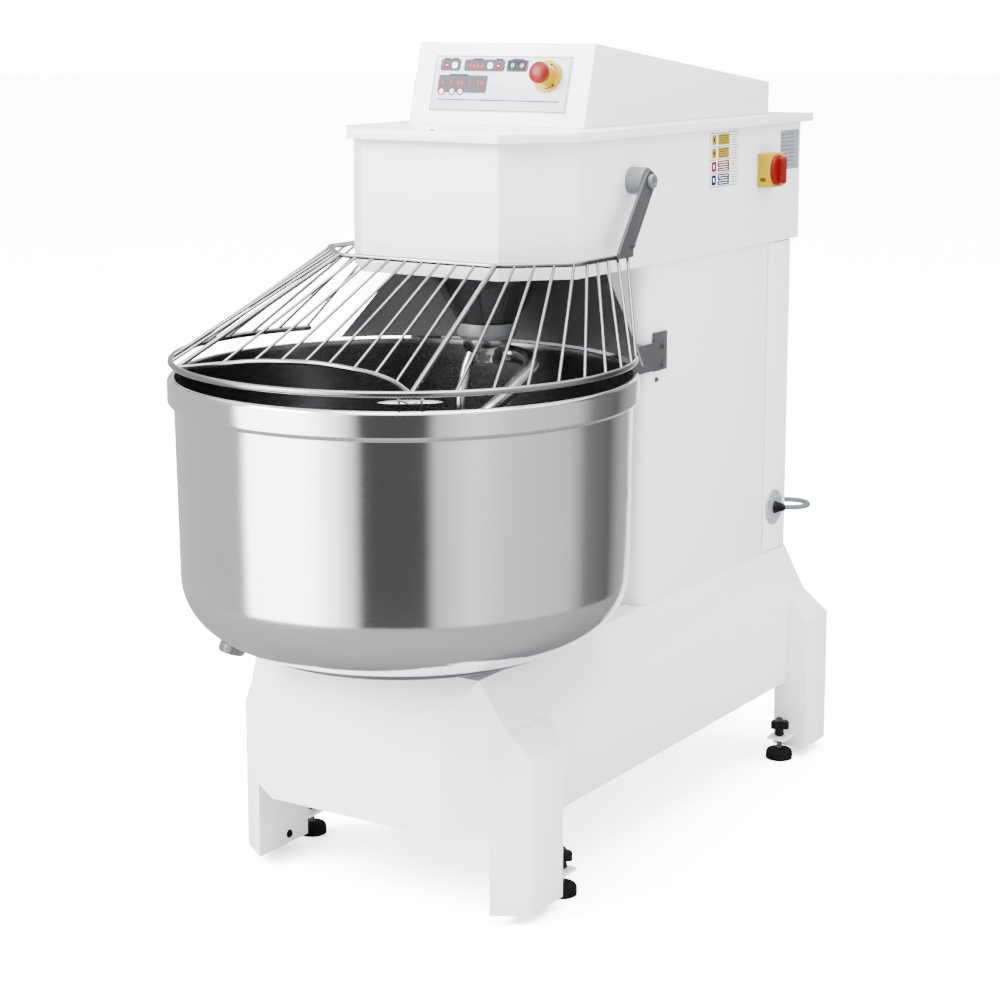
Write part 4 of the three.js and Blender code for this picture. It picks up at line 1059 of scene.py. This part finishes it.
# --- right side of the head
def isolator():
    formed("isolator_box", "base", "yellow_plastic", YELLOW, 2.2, 3)
    seat = flank(1, HEAD_HALF + GAP + 28 + GAP, 984.5, 1336)
    bm = bmesh.new()
    add_lathe(bm, [[0, 0], [33, 0, 0.5], [33, 5, 2], [29, 8, 2], [0, 8]], seat, 72)
    add_prism(bm, rounded_box(0, 0, 16, 58, 6), 7.5, 20, seat, 0, edge=2)
    put(made("isolator_knob_handle", bm, RED), "isolator_knob", "red_plastic", "isolator_knob")


def side_labels():
    """Plain stand-ins for the notices on the head's side: coloured squares and lines, with no lettering."""
    bm = bmesh.new()
    plate = printer(bm, flank(1, HEAD_HALF, 0, 0))
    sheet = (2, 0.02, 0.2)
    line_print = (0.4, 0.15, 0.3)
    middle, label_w, label_h, top = 790, 125, 111, 1425
    plate("white", middle, top - label_h / 2, label_w, label_h, *sheet)
    row = label_h / 4
    for k, color in enumerate(("yellow", "yellow", "red", "blue")):
        z = top - row * (k + 0.5)
        plate(color, middle - 45, z, 20, row - 7, 3, 0.15, 0.3)
        plate("white" if color in ("red", "blue") else "black", middle - 45, z, 6, 9, 1.5, 0.25, 0.38)
        plate("yellow" if k < 2 else color, middle - 2, z, 52, row - 5, 0.5, 0.15, 0.26)
        for line in range(4):
            shade = "white" if k > 1 else "border"
            plate(shade, middle - 3, z + 7.5 - 5 * line, 44 - 6 * (line % 2), 1.6, 0.4, 0.24, 0.34)
            plate("border", middle + 43, z + 7.5 - 5 * line, 28 - 4 * (line % 3), 1.4, *line_print)
    for k in range(5):
        plate("line", middle, top - row * k, label_w, 1.5, 0.2, 0.15, 0.3)
    for side in (-1, 1):
        plate("line", middle + side * label_w / 2, top - label_h / 2, 1.5, label_h, 0.2, 0.15, 0.3)
    plate("light", 1104, 1374, 92, 86, *sheet)
    for k in range(9):
        plate("border", 1094 - 3 * (k % 2), 1408 - 8.4 * k, 60 + 6 * (k % 3), 1.4, *line_print)
    put(made("head_side_labels", bm, list(INKS.values())), "base", "panel_film")


isolator()
side_labels()


# --- wheels, levelling feet and small fittings
def wheel(name):
    low, high = corners(name)
    middle = (low + high) / 2 - AXIS
    x, y, z = middle / MM
    half, r = WHEEL["width"] / 2, WHEEL["radius"]
    profile = [[6.4, -half], [11, -half, 0.6], [12, 3 - half], [21, 3 - half], [23, -half, 1], [r, -half, 3],
               [r, half, 3], [23, half, 1], [21, half - 3], [12, half - 3], [11, half, 0.6], [6.4, half]]
    spot = flank(1, x, y, z)
    turned(f"{name}_tyre", profile, spot, 56, BLACK, name, "black_plastic", name, closed=True)


def foot(name):
    low, high = corners(f"foot_pad_{name}")
    middle = (low + high) / 2 - AXIS
    spot = place(middle.x / MM, middle.y / MM, 0)
    bm = bmesh.new()
    add_lathe(bm, [[0, 0], [30, 0, 1], [30, 15, 1.5], [27, 21, 2], [14, 23.6, 1], [0, 24]], spot, 64)
    add_ribs(bm, 24, 29.6, 3, 13, 0.6, 6, spot)
    put(made(f"foot_pad_{name}_rubber", bm, RUBBER), "base", "black_rubber", f"foot_pad_{name}")
    bm = bmesh.new()
    profile = [[0, 24.3], [6, 24.3, 0.6]]
    for k in range(14):
        profile += [[5.3, 27 + 2 * k], [6, 28 + 2 * k]]
    profile += [[6, 56], [0, 56]]
    add_lathe(bm, profile, spot, 24, paint=1)
    add_lathe(bm, [[0, 54], [11, 54, 1.5], [9.5, 66], [12, 72], [0, 72]], spot, 40)
    lobes = []
    for i in range(72):
        a = 2 * pi * i / 72
        reach = 17 + 6 * cos(3 * a)
        lobes.append((reach * cos(a), reach * sin(a)))
    add_prism(bm, lobes, 71, 89, spot, 0, edge=2.5)
    screw = f"foot_screw_{name}"
    put(made(f"{screw}_knob", bm, [BLACK, BRUSHED]), screw, "black_plastic", screw)


def fittings():
    """Axle bolts on the inner faces of the legs and a blanking plug on the deck."""
    bm = bmesh.new()
    for side in (1, -1):
        for y in (WHEEL["front_y"], WHEEL["rear_y"]):
            add_bolt(bm, place(side * 271.9, y, WHEEL["axle_z"], (-side, 0, 0), (0, 0, 1)), 12, 4)
    add_lathe(bm, [[0, 1450.9], [5.5, 1450.9], [5.5, 1452.6, 0.6], [0, 1453.2]], place(-11, 112, 0), 28)
    put(made("black_fittings", bm, BLACK), "base", "black_plastic")


for wheel_name in ("wheel_front_right", "wheel_front_left", "wheel_rear_right", "wheel_rear_left"):
    wheel(wheel_name)
for foot_name in ("front_right", "front_left", "rear_right", "rear_left"):
    foot(foot_name)
fittings()


# --- floor, surroundings and lights
AMBIENT = 3.2
BACKDROP = 24
FLOOR_GAIN = 5
FLOOR_MIRRORED = 0.14


def pale_floor():
    """A matt white floor, exposed well over white to the camera but a plain grey in reflections."""
    paint = Nodes("pale_floor")
    path = paint.add("LightPath")
    level = paint.add("Math")
    level.operation = "MULTIPLY"
    for slot, (ray, gain) in enumerate((("Is Camera Ray", FLOOR_GAIN), ("Is Glossy Ray", FLOOR_MIRRORED))):
        raised = paint.add("Math")
        raised.operation = "MULTIPLY_ADD"
        raised.inputs[1].default_value = gain - 1
        raised.inputs[2].default_value = 1
        paint.link(path.outputs[ray], raised.inputs[0])
        paint.link(raised.outputs[0], level.inputs[slot])
    drift = paint.mix(paint.range(paint.noise(2, 2), 0, 1), (0.84, 0.845, 0.85), (0.86, 0.865, 0.87))
    scale = paint.add("VectorMath")
    scale.operation = "SCALE"
    paint.link(drift, scale.inputs[0])
    paint.link(level.outputs[0], scale.inputs["Scale"])
    flat = paint.add("BsdfDiffuse")
    paint.link(scale.outputs["Vector"], flat.inputs["Color"])
    paint.link(flat.outputs[0], paint.tree.nodes["Material Output"].inputs["Surface"])
    return paint.material


def floor():
    bm = bmesh.new()
    bmesh.ops.create_circle(bm, cap_ends=True, segments=96, radius=60)
    obj = made("floor", bm, pale_floor())
    obj.location.z = -0.0005


def surroundings():
    """A white studio that is brighter straight to the camera than it is as a light."""
    world = bpy.data.worlds.new("studio")
    scene.world = world
    world.use_nodes = True
    tree = world.node_tree
    tree.nodes.clear()
    output = tree.nodes.new("ShaderNodeOutputWorld")
    lit, seen = (tree.nodes.new("ShaderNodeBackground") for _ in range(2))
    lit.inputs["Color"].default_value = (0.95, 0.97, 1, 1)
    lit.inputs["Strength"].default_value = AMBIENT
    seen.inputs["Strength"].default_value = BACKDROP
    path = tree.nodes.new("ShaderNodeLightPath")
    choose = tree.nodes.new("ShaderNodeMixShader")
    tree.links.new(path.outputs["Is Camera Ray"], choose.inputs["Fac"])
    for slot, light in enumerate((lit, seen), 1):
        tree.links.new(light.outputs[0], choose.inputs[slot])
    tree.links.new(choose.outputs[0], output.inputs["Surface"])


def reflectors():
    """Upright studio boards round the machine, bright and dark by turns, which only reflections see."""
    radius, high, front = 1950, 2300, -54.7
    stops = [(-79, 0.75), (-74, 9), (-45, 9.5), (-34, 5), (-24, 1.8), (-19, 0.09), (9, 0.1), (14, 1.0),
             (30, 1.6), (46, 1.15), (80, 0.9), (92, 0.25), (112, 0.15), (125, 0.5), (150, 0.8),
             (200, 0.9), (281, 0.75)]
    steps = 180
    made_of = Nodes("reflector_boards")
    made_of.tree.nodes.remove(made_of.shader)
    glow = made_of.add("Emission")
    tone = made_of.add("VertexColor")
    tone.layer_name = "tone"
    made_of.link(tone.outputs["Color"], glow.inputs["Color"])
    made_of.link(glow.outputs[0], made_of.tree.nodes["Material Output"].inputs["Surface"])
    bm = bmesh.new()
    layer = bm.loops.layers.float_color.new("tone")
    columns = []
    for i in range(steps):
        a = radians(front + 360 * i / steps)
        x, y = radius * cos(a), radius * sin(a)
        columns.append((bm.verts.new(at(x, y, 2)), bm.verts.new(at(x, y, high))))
    for i in range(steps):
        (a, b), (d, c) = columns[i], columns[(i + 1) % steps]
        face = bm.faces.new((a, b, c, d))
        for loop, angle in zip(face.loops, (i, i, i + 1, i + 1)):
            degrees = 360 * angle / steps
            level = board_level(stops, degrees if degrees < stops[-1][0] else degrees - 360)
            loop[layer] = (level, level, level, 1)
    obj = made("reflector_boards", bm, made_of.material)
    obj.visible_camera = False
    obj.visible_diffuse = False
    obj.visible_shadow = False
    obj.visible_transmission = False


def board_level(stops, degrees):
    """The boards' brightness at an angle from the front, between the nearest stops."""
    for (a, low), (b, high) in zip(stops, stops[1:]):
        if a <= degrees <= b:
            return low + (high - low) * (degrees - a) / (b - a)
    return stops[0][1]


def soft_light(name, where, aim, size, power):
    data = bpy.data.lights.new(name, "AREA")
    data.shape = "RECTANGLE"
    data.size, data.size_y = size
    data.energy = power
    obj = bpy.data.objects.new(name, data)
    scene.collection.objects.link(obj)
    obj.location = where
    obj.rotation_euler = (Vector(aim) - Vector(where)).to_track_quat("-Z", "Y").to_euler()


floor()
surroundings()
reflectors()
soft_light("key", (-3.0, -4.5, 4.2), (0, 0, 0.9), (3.0, 3.0), 1300)
soft_light("top", (0.5, -0.5, 5.0), (0, 0, 1.0), (4.0, 4.0), 420)
